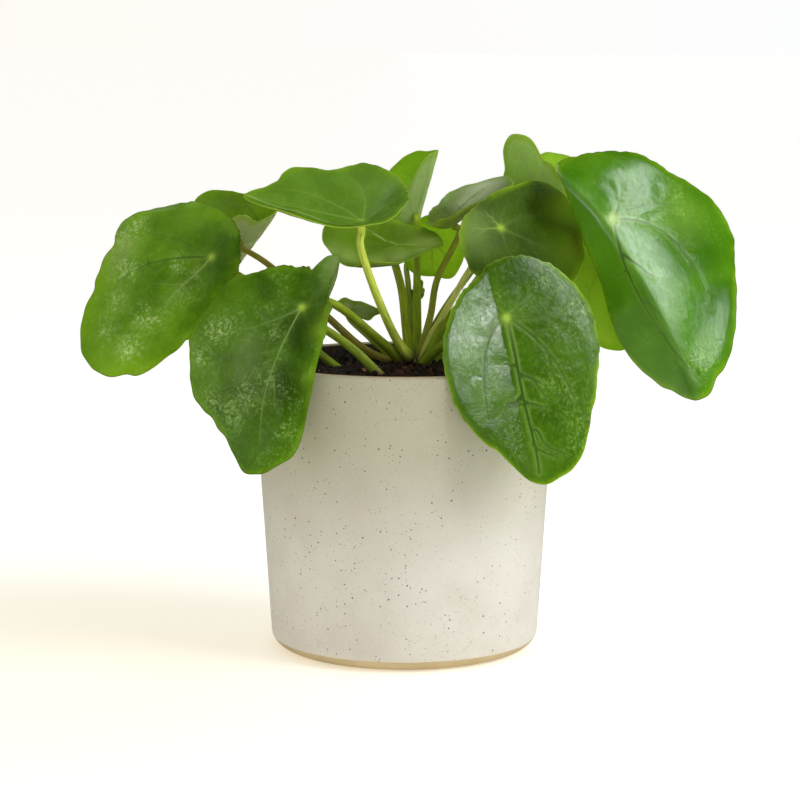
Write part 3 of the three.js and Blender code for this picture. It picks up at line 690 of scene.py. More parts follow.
def vein_field(leaf, flat):
    """For flat places: the way to the nearest vein, the distance to it, its strength and paleness."""
    nearest = np.full(len(flat), 1e9)
    offset = np.zeros_like(flat)
    strength = np.zeros(len(flat))
    paleness = np.zeros(len(flat))
    every = np.arange(len(flat))
    for line, weight, pale in vein_lines(leaf):
        a, b = line[:-1], line[1:]
        along = b - a
        span = np.maximum((along ** 2).sum(-1), 1e-9)
        t = np.clip(((flat[:, None] - a) * along).sum(-1) / span, 0, 1)
        ways = flat[:, None] - a - t[..., None] * along
        away = np.linalg.norm(ways, axis=-1)
        closest = away.argmin(1)
        distance = away[every, closest]
        better = distance < nearest
        nearest = np.where(better, distance, nearest)
        offset = np.where(better[:, None], ways[every, closest], offset)
        strength = np.where(better, weight * (1 - VEIN_FADING * closest / len(a)), strength)
        paleness = np.where(better, pale, paleness)
    return offset, nearest, strength, paleness


# What a leaf has at its flat places

def spot(leaf, flat, heading, share, radius):
    """1 at a heading and share of the rib, easing to 0 about a radius away."""
    centre = polar_line(leaf, np.array([float(heading)]), np.array([share]))[0]
    return np.exp(-((np.linalg.norm(flat - centre, axis=-1) / radius) ** 2))


def patch_and_painted_light_colours(leaf, flat):
    """The colour that the leaf's soft patches have at flat places, and how strong it is there: the leaf's
    own tints, and painted sheen, painted light and painted shade.
    """
    total = np.zeros(len(flat))
    paint = np.zeros((len(flat), 3))
    strongest = np.zeros(len(flat))
    for heading, share, radius, tint, strength in leaf["patches_and_painted_light"]:
        weight = spot(leaf, flat, heading, share, radius)
        total += weight
        paint += weight[:, None] * np.array(colour(tint)[:3])
        strongest = np.maximum(strongest, weight * strength)
    return paint / np.maximum(total, 1e-6)[:, None], strongest


def flecked(leaf, flat):
    """How strongly the leaf's flecks gather at flat places."""
    most = np.zeros(len(flat))
    for heading, share, radius, strength in leaf["flecks"]:
        most = np.maximum(most, strength * spot(leaf, flat, heading, share, radius))
    return most


def crease_share(leaf, flat):
    """1 along the middle of the leaf's crease, easing to 0 beside it."""
    if leaf["fold"] is None:
        return np.zeros(len(flat))
    side, distance, radius, turn = leaf["fold"]
    half = radius * math.radians(abs(turn)) / 2
    past = flat @ (math.cos(math.radians(side)), math.sin(math.radians(side))) - distance
    return np.exp(-(((past - half) / (half + 1)) ** 2))


def flared(leaf, angle, share, full):
    """How far the leaf's margin turns up at angles and shares of the full rib."""
    if leaf["flare"] is None:
        return 0
    start, end, reach, rise = leaf["flare"]
    turn = np.degrees(angle)
    between = np.clip((turn - start) / FLARE_SOFTNESS, 0, 1) * np.clip((end - turn) / FLARE_SOFTNESS, 0, 1)
    return rise * between * np.clip(1 - (1 - share) * full / reach, 0, 1) ** 1.3


def scallops(angle, length, seed):
    """Small uneven waves of the margin, in millimetres, that keep one length round the leaf."""
    total = np.zeros(len(angle))
    for number, wave in enumerate(SCALLOP_WAVES):
        count = round(2 * math.pi * length.max() / wave)
        total += SCALLOP_DEPTH / 2 * np.sin(count * angle + 2 * seed + number * 1.7)
    return total


def swells(flat, seed):
    """Low swellings of the blade between its veins, at several sizes."""
    own = np.random.default_rng(seed)
    total = np.zeros(len(flat))
    for height, length in SWELLS:
        for _ in range(SWELLS_OF_EACH):
            way = own.uniform(0, 2 * math.pi)
            wave = (flat @ (math.cos(way), math.sin(way))) * 2 * math.pi / (length * own.uniform(0.8, 1.3))
            total += height / 2 * np.sin(wave + own.uniform(0, 2 * math.pi))
    return total


# Meshes

def mesh_object(name, points, faces, material, values=None):
    """A smooth-shaded object from points in millimetres, its faces and its values at each point."""
    mesh = bpy.data.meshes.new(name)
    faces = np.asarray(faces)
    mesh.vertices.add(len(points))
    mesh.vertices.foreach_set("co", (np.asarray(points, float) * METRES).ravel())
    size = faces.shape[1]
    mesh.loops.add(faces.size)
    mesh.loops.foreach_set("vertex_index", faces.ravel().astype(np.int32))
    mesh.polygons.add(len(faces))
    mesh.polygons.foreach_set("loop_start", np.arange(0, faces.size, size, dtype=np.int32))
    mesh.update(calc_edges=True)
    mesh.validate()
    mesh.polygons.foreach_set("use_smooth", np.ones(len(mesh.polygons), bool))
    for key, value in (values or {}).items():
        value = np.asarray(value, float)
        kind = "FLOAT_VECTOR" if value.ndim == 2 else "FLOAT"
        made = mesh.attributes.new(key, kind, "POINT")
        made.data.foreach_set("vector" if value.ndim == 2 else "value", value.ravel())
    mesh.materials.append(material)
    return link_object(name, mesh)


def link_object(name, data):
    made = bpy.data.objects.new(name, data)
    bpy.context.collection.objects.link(made)
    return made


def add_piece(made, node_name):
    """Puts a piece in its CAD node's place."""
    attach(made, "root")
    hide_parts(node_name)


def band_faces(starts, sides):
    """Triangles between rings of points, each of which starts at one of these points."""
    here = np.asarray(starts)[:, None] + np.arange(sides)
    after = np.roll(here, -1, axis=1)
    first = np.stack([here[:-1], here[1:], after[1:]], -1).reshape(-1, 3)
    second = np.stack([here[:-1], after[1:], after[:-1]], -1).reshape(-1, 3)
    return np.concatenate([first, second])


def ring_faces(rings, sides, start=0):
    """Triangles between rings of points that follow each other."""
    return band_faces(start + np.arange(rings) * sides, sides)


def fan_faces(centre, ring_start, sides):
    """Triangles from a centre point to a ring."""
    i = np.arange(sides)
    return np.stack([np.full(sides, centre), ring_start + i, ring_start + (i + 1) % sides], -1)


def closed_faces(rings, sides):
    """The faces of a body of rings that two more points close: the first ring's, then the last's."""
    count = rings * sides
    return np.concatenate([
        ring_faces(rings, sides)[:, ::-1],
        fan_faces(count, 0, sides)[:, ::-1],
        fan_faces(count + 1, count - sides, sides),
    ])


def turned_points(profile, sides):
    """Points of a turned body, ring by ring along its profile."""
    turn = 2 * np.pi * np.arange(sides) / sides
    radius, height = np.asarray(profile, float).T[..., None]
    points = np.stack(np.broadcast_arrays(radius * np.cos(turn), radius * np.sin(turn), height), -1)
    return points.reshape(-1, 3)


# Nodes

class Signal:
    """A node's output, which can be added, multiplied and so on: each step adds a math node."""

    def __init__(self, socket):
        self.socket = socket

    def __add__(self, other):
        return calc("ADD", self, other)

    def __sub__(self, other):
        return calc("SUBTRACT", self, other)

    def __rsub__(self, other):
        return calc("SUBTRACT", other, self)

    def __mul__(self, other):
        return calc("MULTIPLY", self, other)

    def __truediv__(self, other):
        return calc("DIVIDE", self, other)

    def times(self, other):
        """The product, kept from 0 to 1."""
        return calc("MULTIPLY", self, other, clamp=True)

    def rise(self, low, high):
        """A smooth rise from 0 at low to 1 at high."""
        return signal(
            self.socket.id_data, "MapRange", "Result", dict(interpolation_type="SMOOTHSTEP"),
            Value=self, From_Min=low, From_Max=high,
        )


def feed(socket, value):
    """Gives an input a number, a colour or another node's output."""
    if isinstance(value, Signal):
        socket.id_data.links.new(value.socket, socket)
    else:
        socket.default_value = value


def add(tree, kind, settings=None, **inputs):
    """A node of this kind. An input's name has _ for each space."""
    made = tree.nodes.new("ShaderNode" + kind)
    for name, value in (settings or {}).items():
        setattr(made, name, value)
    for name, value in inputs.items():
        feed(made.inputs[name.replace("_", " ")], value)
    return made


def signal(tree, kind, output, settings=None, **inputs):
    """One output of a new node."""
    return Signal(add(tree, kind, settings, **inputs).outputs[output])


def calc(operation, a, b=0.0, clamp=False):
    """What a math node makes of two values, of which at least one is a signal."""
    known = a if isinstance(a, Signal) else b
    made = add(known.socket.id_data, "Math", dict(operation=operation, use_clamp=clamp))
    feed(made.inputs[0], a)
    feed(made.inputs[1], b)
    return Signal(made.outputs[0])


def vector_calc(tree, operation, output, place, other=None):
    """What a vector math node makes of a place, with a fixed one where it takes two."""
    made = add(tree, "VectorMath", dict(operation=operation), Vector=place)
    if other is not None:
        made.inputs[1].default_value = other
    return Signal(made.outputs[output])


def mixed(tree, share, one, two, blend_type="MIX"):
    """Colour one, with a share of colour two."""
    made = add(tree, "Mix", dict(data_type="RGBA", blend_type=blend_type))
    for number, value in ((0, share), (6, one), (7, two)):
        feed(made.inputs[number], value)
    return Signal(made.outputs[2])


def colour(values):
    """A linear colour from red, green and blue of 0 to 255 as a screen shows them."""
    shown = np.asarray(values, float) / 255
    linear = np.where(shown <= 0.04045, shown / 12.92, ((shown + 0.055) / 1.055) ** 2.4)
    return (*linear, 1)


def clouded(tree, share, colours):
    """A mix of two screen colours."""
    return mixed(tree, share, *map(colour, colours))


def painted(tree, share, paint, tint):
    """The paint, with a share of a screen colour over it."""
    return mixed(tree, share, paint, colour(tint))


def noise(tree, where, scale, detail=3, roughness=0.5, distortion=0):
    return signal(
        tree, "TexNoise", "Fac", Vector=where,
        Scale=scale, Detail=detail, Roughness=roughness, Distortion=distortion,
    )


def attribute(tree, name, output="Fac"):
    return signal(tree, "Attribute", output, dict(attribute_name=name))


def object_place(tree):
    return signal(tree, "TexCoord", "Object")


def new_material(name):
    """A material and its empty tree."""
    material = bpy.data.materials.new(name)
    material.use_nodes = True
    material.node_tree.nodes.clear()
    return material, material.node_tree


def coated(tree, paint, height, rough, strength, depth, gloss, **more):
    """The usual shader, with bumps of the height's strength and of a depth in metres."""
    return signal(
        tree, "BsdfPrincipled", "BSDF", Base_Color=paint, Roughness=rough, Specular_IOR_Level=gloss,
        Normal=signal(tree, "Bump", "Normal", Height=height, Strength=strength, Distance=depth), **more,
    )


def show(tree, shader):
    """Links a shader to the tree's output."""
    feed(tree.nodes.new("ShaderNodeOutputMaterial").inputs["Surface"], shader)


# Leaf material

def leaf_mottling(tree, leaf, flat, fine):
    """Pale squiggles, specks and blotches, thin all over and thicker where the flecks gather."""
    gathered = attribute(tree, "flecked")
    strewn = noise(tree, flat, *STREWN_NOISE).rise(0.5, 0.66) * 0.3 + 0.03 + gathered
    curl = calc("ABSOLUTE", noise(tree, flat, *SQUIGGLE_NOISE) - 0.5)
    squiggle = curl.rise(0.05, 0.01) * fine.rise(0.4, 0.6)
    speck = noise(tree, flat, *SPECK_NOISE).rise(0.6, 0.7)
    blotch = noise(tree, flat, *BLOTCH_NOISE).rise(0.53, 0.6) * gathered
    return (strewn * (squiggle + speck * 0.15 + blotch * 0.6)).times(leaf["mottle"])


def upper_paint(tree, leaf, flat, fine, vein):
    """Two greens in clouds, then freckles, patches with painted sheen, light and shade, mottling, margin,
    pale vein borders that are partly painted highlight, veins, the hub's star and the rim.
    """
    inward = attribute(tree, "inward")
    broad = noise(tree, flat, *BROAD_NOISE)
    paint = clouded(tree, broad.rise(0.36, 0.64), (leaf["deep"], leaf["upper"]))
    paint = painted(tree, fine.rise(0.45, 0.7) * leaf["freckle"], paint, leaf["margin"])
    # Patches: the leaf's own tints, and painted sheen, painted light and painted shade
    paint = mixed(tree, attribute(tree, "patch_and_painted_light_share"), paint, attribute(tree, "patch_and_painted_light_colour", "Color"))
    paint = painted(tree, leaf_mottling(tree, leaf, flat, fine), paint, leaf["pale"])
    edge = inward.rise(leaf["edge"], 0) * broad.rise(0.3, 0.6)
    paint = painted(tree, edge * 0.7, paint, leaf["margin"])
    # A pale border along the veins, partly a painted highlight on their banks
    vein_border_and_highlight = attribute(tree, "near").rise(*VEIN_BORDER_AND_HIGHLIGHT_REACH) * attribute(tree, "strength")
    paint = painted(tree, vein_border_and_highlight * leaf["vein_border_and_highlight"], paint, leaf["pale"])
    line = clouded(tree, attribute(tree, "paleness"), (leaf["vein"], leaf["pale_vein"]))
    paint = mixed(tree, vein * 0.9, paint, line)
    paint = painted(tree, attribute(tree, "star"), paint, STAR_COLOUR)
    broken = broad.rise(0.4, 0.6) * 0.6 + 0.25
    return painted(tree, inward.rise(*RIM_LINE) * broken, paint, leaf["rim"])


def lower_paint(tree, leaf, fine, vein):
    """A greyer green with pale veins and a light margin."""
    paint = clouded(tree, fine.rise(0.3, 0.7), (leaf["lower"], leaf["upper"]))
    paint = painted(tree, 0.7, paint, leaf["lower"])
    paint = painted(tree, vein * 0.8, paint, UNDER_VEIN_COLOUR)
    return painted(tree, attribute(tree, "inward").rise(*UNDER_MARGIN) * 0.7, paint, UNDER_MARGIN_COLOUR)


def leaf_material(leaf):
    """Green with thin veins, pale mottling, a hub star and a light rim; the lower face is greyer."""
    material, tree = new_material(f"leaf {leaf['name']}")
    flat = attribute(tree, "flat", "Vector")
    strength = attribute(tree, "strength")
    near = attribute(tree, "near")
    fine = noise(tree, flat, *FINE_NOISE)
    away = vector_calc(tree, "LENGTH", "Value", attribute(tree, "offset", "Vector"))
    away = away / (strength * 0.7 + 0.45)
    close = near.rise(*VEIN_REACH) * strength.times(1.2)
    vein = away.rise(*VEIN_EDGE) * close
    upper = upper_paint(tree, leaf, flat, fine, vein)
    lower = lower_paint(tree, leaf, fine, vein)
    paint = mixed(tree, attribute(tree, "side").rise(-0.2, 0.2), lower, upper)

    ridges = calc("ABSOLUTE", noise(tree, flat, *RIDGE_NOISE) - 0.5).rise(0.07, 0)
    height = noise(tree, flat, *GRAIN_NOISE) * 0.35 + noise(tree, flat, *WRINKLE_NOISE) * 0.8
    height = height + ridges * 0.22 - away.rise(*FURROW_EDGE) * (close * 0.35)
    least, most = leaf["rough"]
    rough = signal(
        tree, "MapRange", "Result", Value=noise(tree, flat, *SHINE_NOISE),
        From_Min=0.3, From_Max=0.7, To_Min=least, To_Max=most,
    )
    rough = rough + attribute(tree, "matte") + vein * 0.12
    surface = coated(tree, paint, height, rough, leaf["crinkle"], LEAF_BUMP_DEPTH, leaf["gloss"])
    glow = signal(tree, "BsdfTranslucent", "BSDF", Color=painted(tree, 0.5, paint, LIT_COLOUR))
    both = add(tree, "MixShader", Fac=leaf["through"])
    feed(both.inputs[1], surface)
    feed(both.inputs[2], glow)
    show(tree, Signal(both.outputs[0]))
    return material


# Blades

def blade_relief(leaf, flat, angle, share, full, near, inside):
    """How high the blade's middle lies at each place: quilting, ripples, swells and the flare."""
    relief = (1 - np.exp(-((near / QUILT_REACH) ** 2))) * QUILT_HEIGHT * inside
    relief = relief + leaf["ripple"] * share ** 3 * np.sin(RIPPLE_WAVES * angle + leaf["number"])
    relief = relief + inside * leaf["swell"] * swells(flat, leaf["number"])
    return relief + flared(leaf, angle, share, full)


def blade_grid(leaf):
    """The blade's spokes and rings, and each point's share of the rib and angle, from the hub outwards."""
    longest = max(leaf["radii"])
    around = np.linspace(0, 2 * np.pi, ROUND_STEPS + 1)
    rim = rib_length(leaf, around)
    length_round = np.hypot(np.diff(rim * np.cos(around)), np.diff(rim * np.sin(around))).sum()
    spokes = max(FEWEST_SPOKES, int(length_round / MESH_SPACING / 2) * 2)
    rings = max(FEWEST_RINGS, int(longest * RINGS_TO_SPACE / MESH_SPACING))
    turn = 2 * np.pi * np.arange(spokes) / spokes
    turn = turn - SPOKE_GATHERING * np.sin(turn)
    shares = np.arange(1, rings + 1) / rings
    share, angle = (grid.ravel() for grid in np.meshgrid(shares, turn, indexing="ij"))
    return spokes, rings, np.concatenate([[0], share]), np.concatenate([[0], angle])


def blade_faces(spokes, rings):
    """The upper face, the rows of the rim and the lower face."""
    lower_start = 1 + (rings + RIM_ROWS) * spokes
    last_ring = 1 + (rings - 1) * spokes
    upper = np.concatenate([fan_faces(0, 1, spokes), ring_faces(rings, spokes, 1)])
    rim_starts = [last_ring + row * spokes for row in range(RIM_ROWS + 1)]
    rim = band_faces([*rim_starts, lower_start + last_ring], spokes)
    return np.concatenate([upper, rim, upper[:, ::-1] + lower_start])


def build_blade(leaf):
    """The fine blade: two faces with veins and quilting, and a rounded, slightly scalloped rim."""
    spokes, rings, share, angle = blade_grid(leaf)
    full = rib_length(leaf, angle)
    full = full + scallops(angle, full, leaf["number"]) * share ** 4
    length = share * full
    flat = np.stack([length * np.cos(angle), length * np.sin(angle)], -1)
    offset, near, strength, paleness = vein_field(leaf, flat)
    inside = np.clip((1 - share) * max(leaf["radii"]) / BLADE_THINNING, 0, 1)
    relief = blade_relief(leaf, flat, angle, share, full, near, inside)
    half = (BLADE_RIM_THICKNESS + (BLADE_THICKNESS - BLADE_RIM_THICKNESS) * inside) / 2
    upper = blade_points(leaf, length, angle, half + relief)
    lower = blade_points(leaf, length, angle, -half + relief)

    # The rim is a half round of rows between the two faces' last rings
    last = slice(1 + (rings - 1) * spokes, None)
    rows = []
    for row in range(1, RIM_ROWS + 1):
        at = math.pi * row / (RIM_ROWS + 1)
        out = 0.5 * BLADE_RIM_THICKNESS * math.sin(at)
        lift = 0.5 * BLADE_RIM_THICKNESS * math.cos(at)
        rows.append(blade_points(leaf, length[last] + out, angle[last], relief[last] + lift))

    seed = np.full(len(flat), leaf["number"] * LEAF_NOISE_SHIFT)
    patch_and_painted_light_colour, patch_and_painted_light_share = patch_and_painted_light_colours(leaf, flat)
    star_radius, star_run = leaf["star"]
    arm_strength, arm_width = STAR_ARMS
    star = np.exp(-((length / star_radius) ** 2))
    star = star + arm_strength * strength * np.exp(-length / star_run - near / arm_width)
    values = dict(
        flat=np.column_stack([flat, seed]), offset=np.column_stack([offset, 0 * seed]), near=near,
        strength=strength, paleness=paleness, inward=(1 - share) * full, star=np.clip(star, 0, 1),
        patch_and_painted_light_colour=patch_and_painted_light_colour, patch_and_painted_light_share=patch_and_painted_light_share, flecked=flecked(leaf, flat),
        matte=crease_share(leaf, flat) * leaf["matte"],
    )
    for key, value in values.items():
        values[key] = np.concatenate([value, *[value[last]] * RIM_ROWS, value])
    rim_sides = np.linspace(1, -1, RIM_ROWS).repeat(spokes)
    values["side"] = np.concatenate([np.ones(len(flat)), rim_sides, -np.ones(len(flat))])
    points = np.concatenate([upper, *rows, lower])
    faces = blade_faces(spokes, rings)
    made = mesh_object(f"blade_{leaf['name']}", points, faces, leaf_material(leaf), values)
    add_piece(made, f"leaf_{leaf['name']}")


# Petioles

def petiole_line(leaf):
    """Points along the petiole at an even step: its own points, then straight up to the blade."""
    up = unit(leaf["face"])
    end = np.asarray(leaf["hub"], float) - up * PETIOLE_GAP
    own = [np.asarray(p, float) for p in leaf["petiole"]]
    points = [*own, end - up * PETIOLE_APPROACH, end]
    points = [2 * points[0] - points[1], *points, 2 * points[-1] - points[-2]]
    fine = []
    for a, b, c, d in zip(points, points[1:], points[2:], points[3:]):
        for t in np.linspace(0, 1, PETIOLE_CURVE_STEPS, endpoint=False):
            fine.append(curve_between(a, b, c, d, t))
    fine = np.array([*fine, points[-2]])
    gone = np.concatenate([[0], np.cumsum(np.linalg.norm(np.diff(fine, axis=0), axis=1))])
    even = np.linspace(0, gone[-1], int(gone[-1] / PETIOLE_STEP) + 1)
    return np.stack([np.interp(even, gone, fine[:, k]) for k in range(3)], -1), even


def petiole_material(leaf):
    """Juicy green, with fine lengthwise streaks, browner towards the root."""
    material, tree = new_material(f"petiole {leaf['name']}")
    skin = signal(tree, "Mapping", "Vector", Vector=attribute(tree, "skin", "Vector"), Scale=STREAK_STRETCH)
    streak = noise(tree, skin, *STREAK_NOISE)
    base = colour(leaf["stalk"])[:3]
    dark, light = ((*(min(1, shade * c) for c in base), 1) for shade in PETIOLE_SHADES)
    paint = mixed(tree, streak.rise(0.3, 0.7), dark, light)
    paint = painted(tree, (1 - attribute(tree, "along")).rise(0.9, 1), paint, PETIOLE_ROOT_COLOUR)
    show(tree, coated(tree, paint, streak, *PETIOLE_SURFACE, **PETIOLE_DEPTH))
    return material


def petiole_radius(leaf, gone):
    """The stalk's radius at lengths along it, thicker at its root and under the blade."""
    root, top = leaf["thick"]
    root_flare, root_length = PETIOLE_ROOT_FLARE
    top_flare, top_length = PETIOLE_TOP_FLARE
    flares = root_flare * np.exp(-gone / root_length) + top_flare * np.exp(-(gone[-1] - gone) / top_length)
    return (root + (top - root) * gone / gone[-1]) * (1 + flares)


def build_petiole(leaf):
    """A tapering stalk that flares at its root and under the blade."""
    line, gone = petiole_line(leaf)
    along = np.gradient(line, axis=0)
    along /= np.linalg.norm(along, axis=1)[:, None]
    across = np.cross(along, unit(PETIOLE_SIDEWAYS))
    across /= np.linalg.norm(across, axis=1)[:, None]
    over = np.cross(across, along)
    turn = 2 * np.pi * np.arange(PETIOLE_SIDES) / PETIOLE_SIDES
    grooves, groove_depth = PETIOLE_GROOVES
    groove = 1 - groove_depth * np.cos(grooves * turn + leaf["number"])
    ring = petiole_radius(leaf, gone)[:, None, None] * groove[None, :, None]
    points = line[:, None] + ring * (
        np.cos(turn)[None, :, None] * across[:, None] - np.sin(turn)[None, :, None] * over[:, None]
    )
    skin_x = PETIOLE_SKIN_RADIUS * np.cos(turn)
    skin_y = PETIOLE_SKIN_RADIUS * np.sin(turn) + leaf["number"] * PETIOLE_NOISE_SHIFT
    skin = np.stack(np.broadcast_arrays(skin_x, skin_y, gone[:, None]), -1).reshape(-1, 3)
    points = np.concatenate([points.reshape(-1, 3), line[:1], line[-1:]])
    faces = closed_faces(len(line), PETIOLE_SIDES)
    values = dict(
        along=np.concatenate([(gone / gone[-1]).repeat(PETIOLE_SIDES), [0, 1]]),
        skin=np.concatenate([skin, skin[:1], skin[-1:]]),
    )
    made = mesh_object(f"stalk_{leaf['name']}", points, faces, petiole_material(leaf), values)
    add_piece(made, f"petiole_{leaf['name']}")


# Pot

def pot_radius(height):
    rise = (height - POT_CORNER_HEIGHT) / (POT_HEIGHT - POT_CORNER_HEIGHT)
    return POT_CORNER_RADIUS + (POT_RIM_RADIUS - POT_CORNER_RADIUS) * rise


def pot_profile():
    """The pot's outline: foot, rounded corner, straight wall, rounded rim, inner wall and floor."""
    profile = [(POT_FOOT_RADIUS * share, 0) for share in FOOT_RINGS]
    for turn in np.linspace(0, math.pi / 2, CORNER_STEPS):
        reach = POT_FOOT_RADIUS + (POT_CORNER_RADIUS - POT_FOOT_RADIUS) * math.sin(turn)
        profile.append((reach, POT_CORNER_HEIGHT * (1 - math.cos(turn))))
    shoulder = POT_HEIGHT - RIM_ROUNDING
    profile += [(pot_radius(z), z) for z in np.linspace(POT_CORNER_HEIGHT, shoulder, WALL_STEPS)[1:]]
    outer = POT_RIM_RADIUS - RIM_ROUNDING
    inner = POT_RIM_RADIUS - POT_WALL + RIM_ROUNDING
    rounding = [(outer, turn) for turn in np.linspace(0, math.pi / 2, ROUNDING_STEPS)[1:]]
    rounding += [(inner, turn) for turn in np.linspace(math.pi / 2, math.pi, ROUNDING_STEPS)]
    for middle, turn in rounding:
        profile.append((middle + RIM_ROUNDING * math.cos(turn), shoulder + RIM_ROUNDING * math.sin(turn)))
    profile += [(pot_radius(z) - POT_WALL, z) for z in np.linspace(shoulder - 1, POT_FLOOR, INSIDE_STEPS)]
    profile += [((pot_radius(POT_FLOOR) - POT_WALL) * share, POT_FLOOR) for share in FLOOR_RINGS]
    return profile


def specks(tree, place, scale, size, share):
    """Dots of about a size, in a share of the cells of a random pattern."""
    cells = add(tree, "TexVoronoi", Vector=place, Scale=scale)
    dot = Signal(cells.outputs["Distance"]).rise(size, size * 0.55)
    drawn = signal(tree, "SeparateColor", 0, Color=Signal(cells.outputs["Color"]))
    return dot * calc("LESS_THAN", drawn, share)


def pot_material():
    """Matte speckled stoneware with painted shade on its upper half, bare and tan at its foot and in a thin
    line on its rim, dark on the inner wall near the rim.
    """
    material, tree = new_material("speckled stoneware")
    place = object_place(tree)
    height = signal(tree, "SeparateXYZ", "Z", Vector=place)
    cloud = noise(tree, place, *CLOUD_NOISE)
    grain = noise(tree, place, *GLAZE_GRAIN_NOISE)
    paint = clouded(tree, cloud.rise(0.3, 0.7), GLAZE)
    paint = painted(tree, grain.rise(0.55, 0.75) * 0.2, paint, GLAZE_GRAIN)
    cluster = noise(tree, place, *CLUSTER_NOISE).rise(0.46, 0.56)
    for scale, size, share, fading, strength, tint in SPECKS:
        dots = specks(tree, place, scale, size, share)
        if fading is not None:
            dots = dots * cluster.rise(fading, 1)
        paint = painted(tree, dots * strength, paint, tint)
    # Painted shade: the upper half of the pot is darker, as if shaded by the leaves
    painted_shade = (height + cloud * 0.01).rise(*PAINTED_SHADE_HEIGHTS)
    paint = mixed(tree, painted_shade, paint, colour(GLAZE_PAINTED_SHADE), "MULTIPLY")
    wander = noise(tree, place, *WANDER_NOISE) * METRES
    low = height + wander
    clay = clouded(tree, cloud.rise(0.3, 0.7), CLAY)
    paint = mixed(tree, 1 - low.rise(*CLAY_FOOT_HEIGHTS), paint, clay)
    paint = painted(tree, (height + wander * 0.3).rise(*CLAY_RIM_HEIGHTS) * 0.8, paint, RIM_CLAY)
    # A dark band on the inner wall near the rim
    level = vector_calc(tree, "MULTIPLY", "Vector", place, (1, 1, 0))
    radius = vector_calc(tree, "LENGTH", "Value", level)
    inner_dark = radius.rise(*INNER_DARK_RADII) * height.rise(*INNER_DARK_FOOT_HEIGHTS) * low.rise(*INNER_DARK_TOP_HEIGHTS)
    paint = painted(tree, inner_dark, paint, INNER_WALL_DARK)
    show(tree, coated(tree, paint, cloud * 0.6 + grain * 0.25, *POT_SURFACE))
    return material


def build_pot():
    profile = pot_profile()
    points = np.concatenate([turned_points(profile, POT_SIDES), [[0, 0, 0], [0, 0, POT_FLOOR]]])
    faces = closed_faces(len(profile), POT_SIDES)
    made = mesh_object("stoneware_pot", points, faces, pot_material())
    add_piece(made, "pot")


# Soil

def soil_material():
    """Dark, damp and fibrous, with red-brown and tan bits."""
    material, tree = new_material("potting soil")
    tint = attribute(tree, "tint")
    fine = noise(tree, object_place(tree), *SOIL_NOISE)
    paint = clouded(tree, fine.rise(0.3, 0.75), SOIL_GROUND)
    paint = painted(tree, tint.rise(0.6, 0.85), paint, SOIL_RED)
    paint = painted(tree, tint.rise(0.93, 0.98), paint, SOIL_TAN)
    show(tree, coated(tree, paint, fine, *SOIL_SURFACE))
    return material


def soil_edge():
    """The height and radius of the soil's upper edge."""
    height = POT_HEIGHT - SOIL_EDGE_DEPTH
    return height, pot_radius(height) - POT_WALL - SOIL_GAP


def soil_height(x, y):
    """The soil's height: a low mound with lumps of several sizes."""
    edge_height, edge_radius = soil_edge()
    share = np.clip(np.hypot(x, y) / edge_radius, 0, 1)
    height = edge_height + SOIL_MOUND * (1 - share ** 2)
    for rise, *waves in SOIL_LUMPS:
        for across, along, start in waves:
            rise = rise * np.sin(across * x + along * y + start)
        height = height + rise
    return height


def build_soil_body(material):
    """The soil with its rough top."""
    foot = POT_FLOOR + SOIL_GAP
    inset = POT_WALL + SOIL_GAP
    radii = [(pot_radius(z) - inset, z) for z in (foot, SOIL_MIDDLE_HEIGHT)]
    body = turned_points([(SOIL_FOOT_RING, foot), *radii], SOIL_SIDES)
    edge_radius = soil_edge()[1]
    tops = np.linspace(edge_radius, edge_radius / SOIL_RINGS, SOIL_RINGS)
    x, y, _ = turned_points([(radius, 0) for radius in tops], SOIL_SIDES).T
    z = soil_height(x, y) + rng.normal(0, SOIL_ROUGHNESS, len(x))
    points = np.concatenate([body, np.column_stack([x, y, z]), [[0, 0, foot], [0, 0, soil_height(0, 0)]]])
    faces = closed_faces(len(radii) + 1 + SOIL_RINGS, SOIL_SIDES)
    tints = np.concatenate([np.zeros(len(body)), rng.uniform(0, 0.8, len(x)), [0, 0]])
    add_piece(mesh_object("soil_body", points, faces, material, dict(tint=tints)), "soil")


def ball_points(rings=5, sides=8):
    """A small ball's points and faces, for crumbs."""
    polar = math.pi * np.arange(1, rings) / rings
    middle = turned_points(np.column_stack([np.sin(polar), -np.cos(polar)]), sides)
    points = np.concatenate([[[0, 0, -1]], middle, [[0, 0, 1]]])
    faces = np.concatenate([
        fan_faces(0, 1, sides)[:, ::-1],
        ring_faces(rings - 1, sides, 1)[:, ::-1],
        fan_faces(len(points) - 1, len(points) - 1 - sides, sides),
    ])
    return points, faces


def build_crumbs(material):
    """Loose crumbs and fibres on the soil."""
    ball, ball_faces = ball_points()
    edge_radius = soil_edge()[1]
    crumbs, faces, tints = [], [], []
    for number in range(CRUMBS):
        far = edge_radius * math.sqrt(rng.uniform(0, CRUMB_SPREAD))
        at = rng.uniform(0, 2 * math.pi)
        x, y = far * math.cos(at), far * math.sin(at)
        size = rng.uniform(*(SMALL_CRUMB if rng.random() < SMALL_CRUMB_SHARE else LARGE_CRUMB))
        shape = ball * (1 + rng.uniform(-CRUMB_KNOBS, CRUMB_KNOBS, (len(ball), 1))) * size
        shape = shape * rng.uniform(*CRUMB_WIDTHS, 3)
        spin = rng.uniform(0, 2 * math.pi)
        c, s = math.cos(spin), math.sin(spin)
        shape = shape @ np.array([[c, -s, 0], [s, c, 0], [0, 0, 1]])
        crumbs.append(shape + (x, y, soil_height(x, y) + CRUMB_LIFT))
        faces.append(ball_faces + number * len(ball))
        tints.append(np.full(len(ball), rng.uniform(0, 1)))
    points, faces, tint = map(np.concatenate, (crumbs, faces, tints))
    add_piece(mesh_object("soil_crumbs", points, faces, material, dict(tint=tint)), "soil")


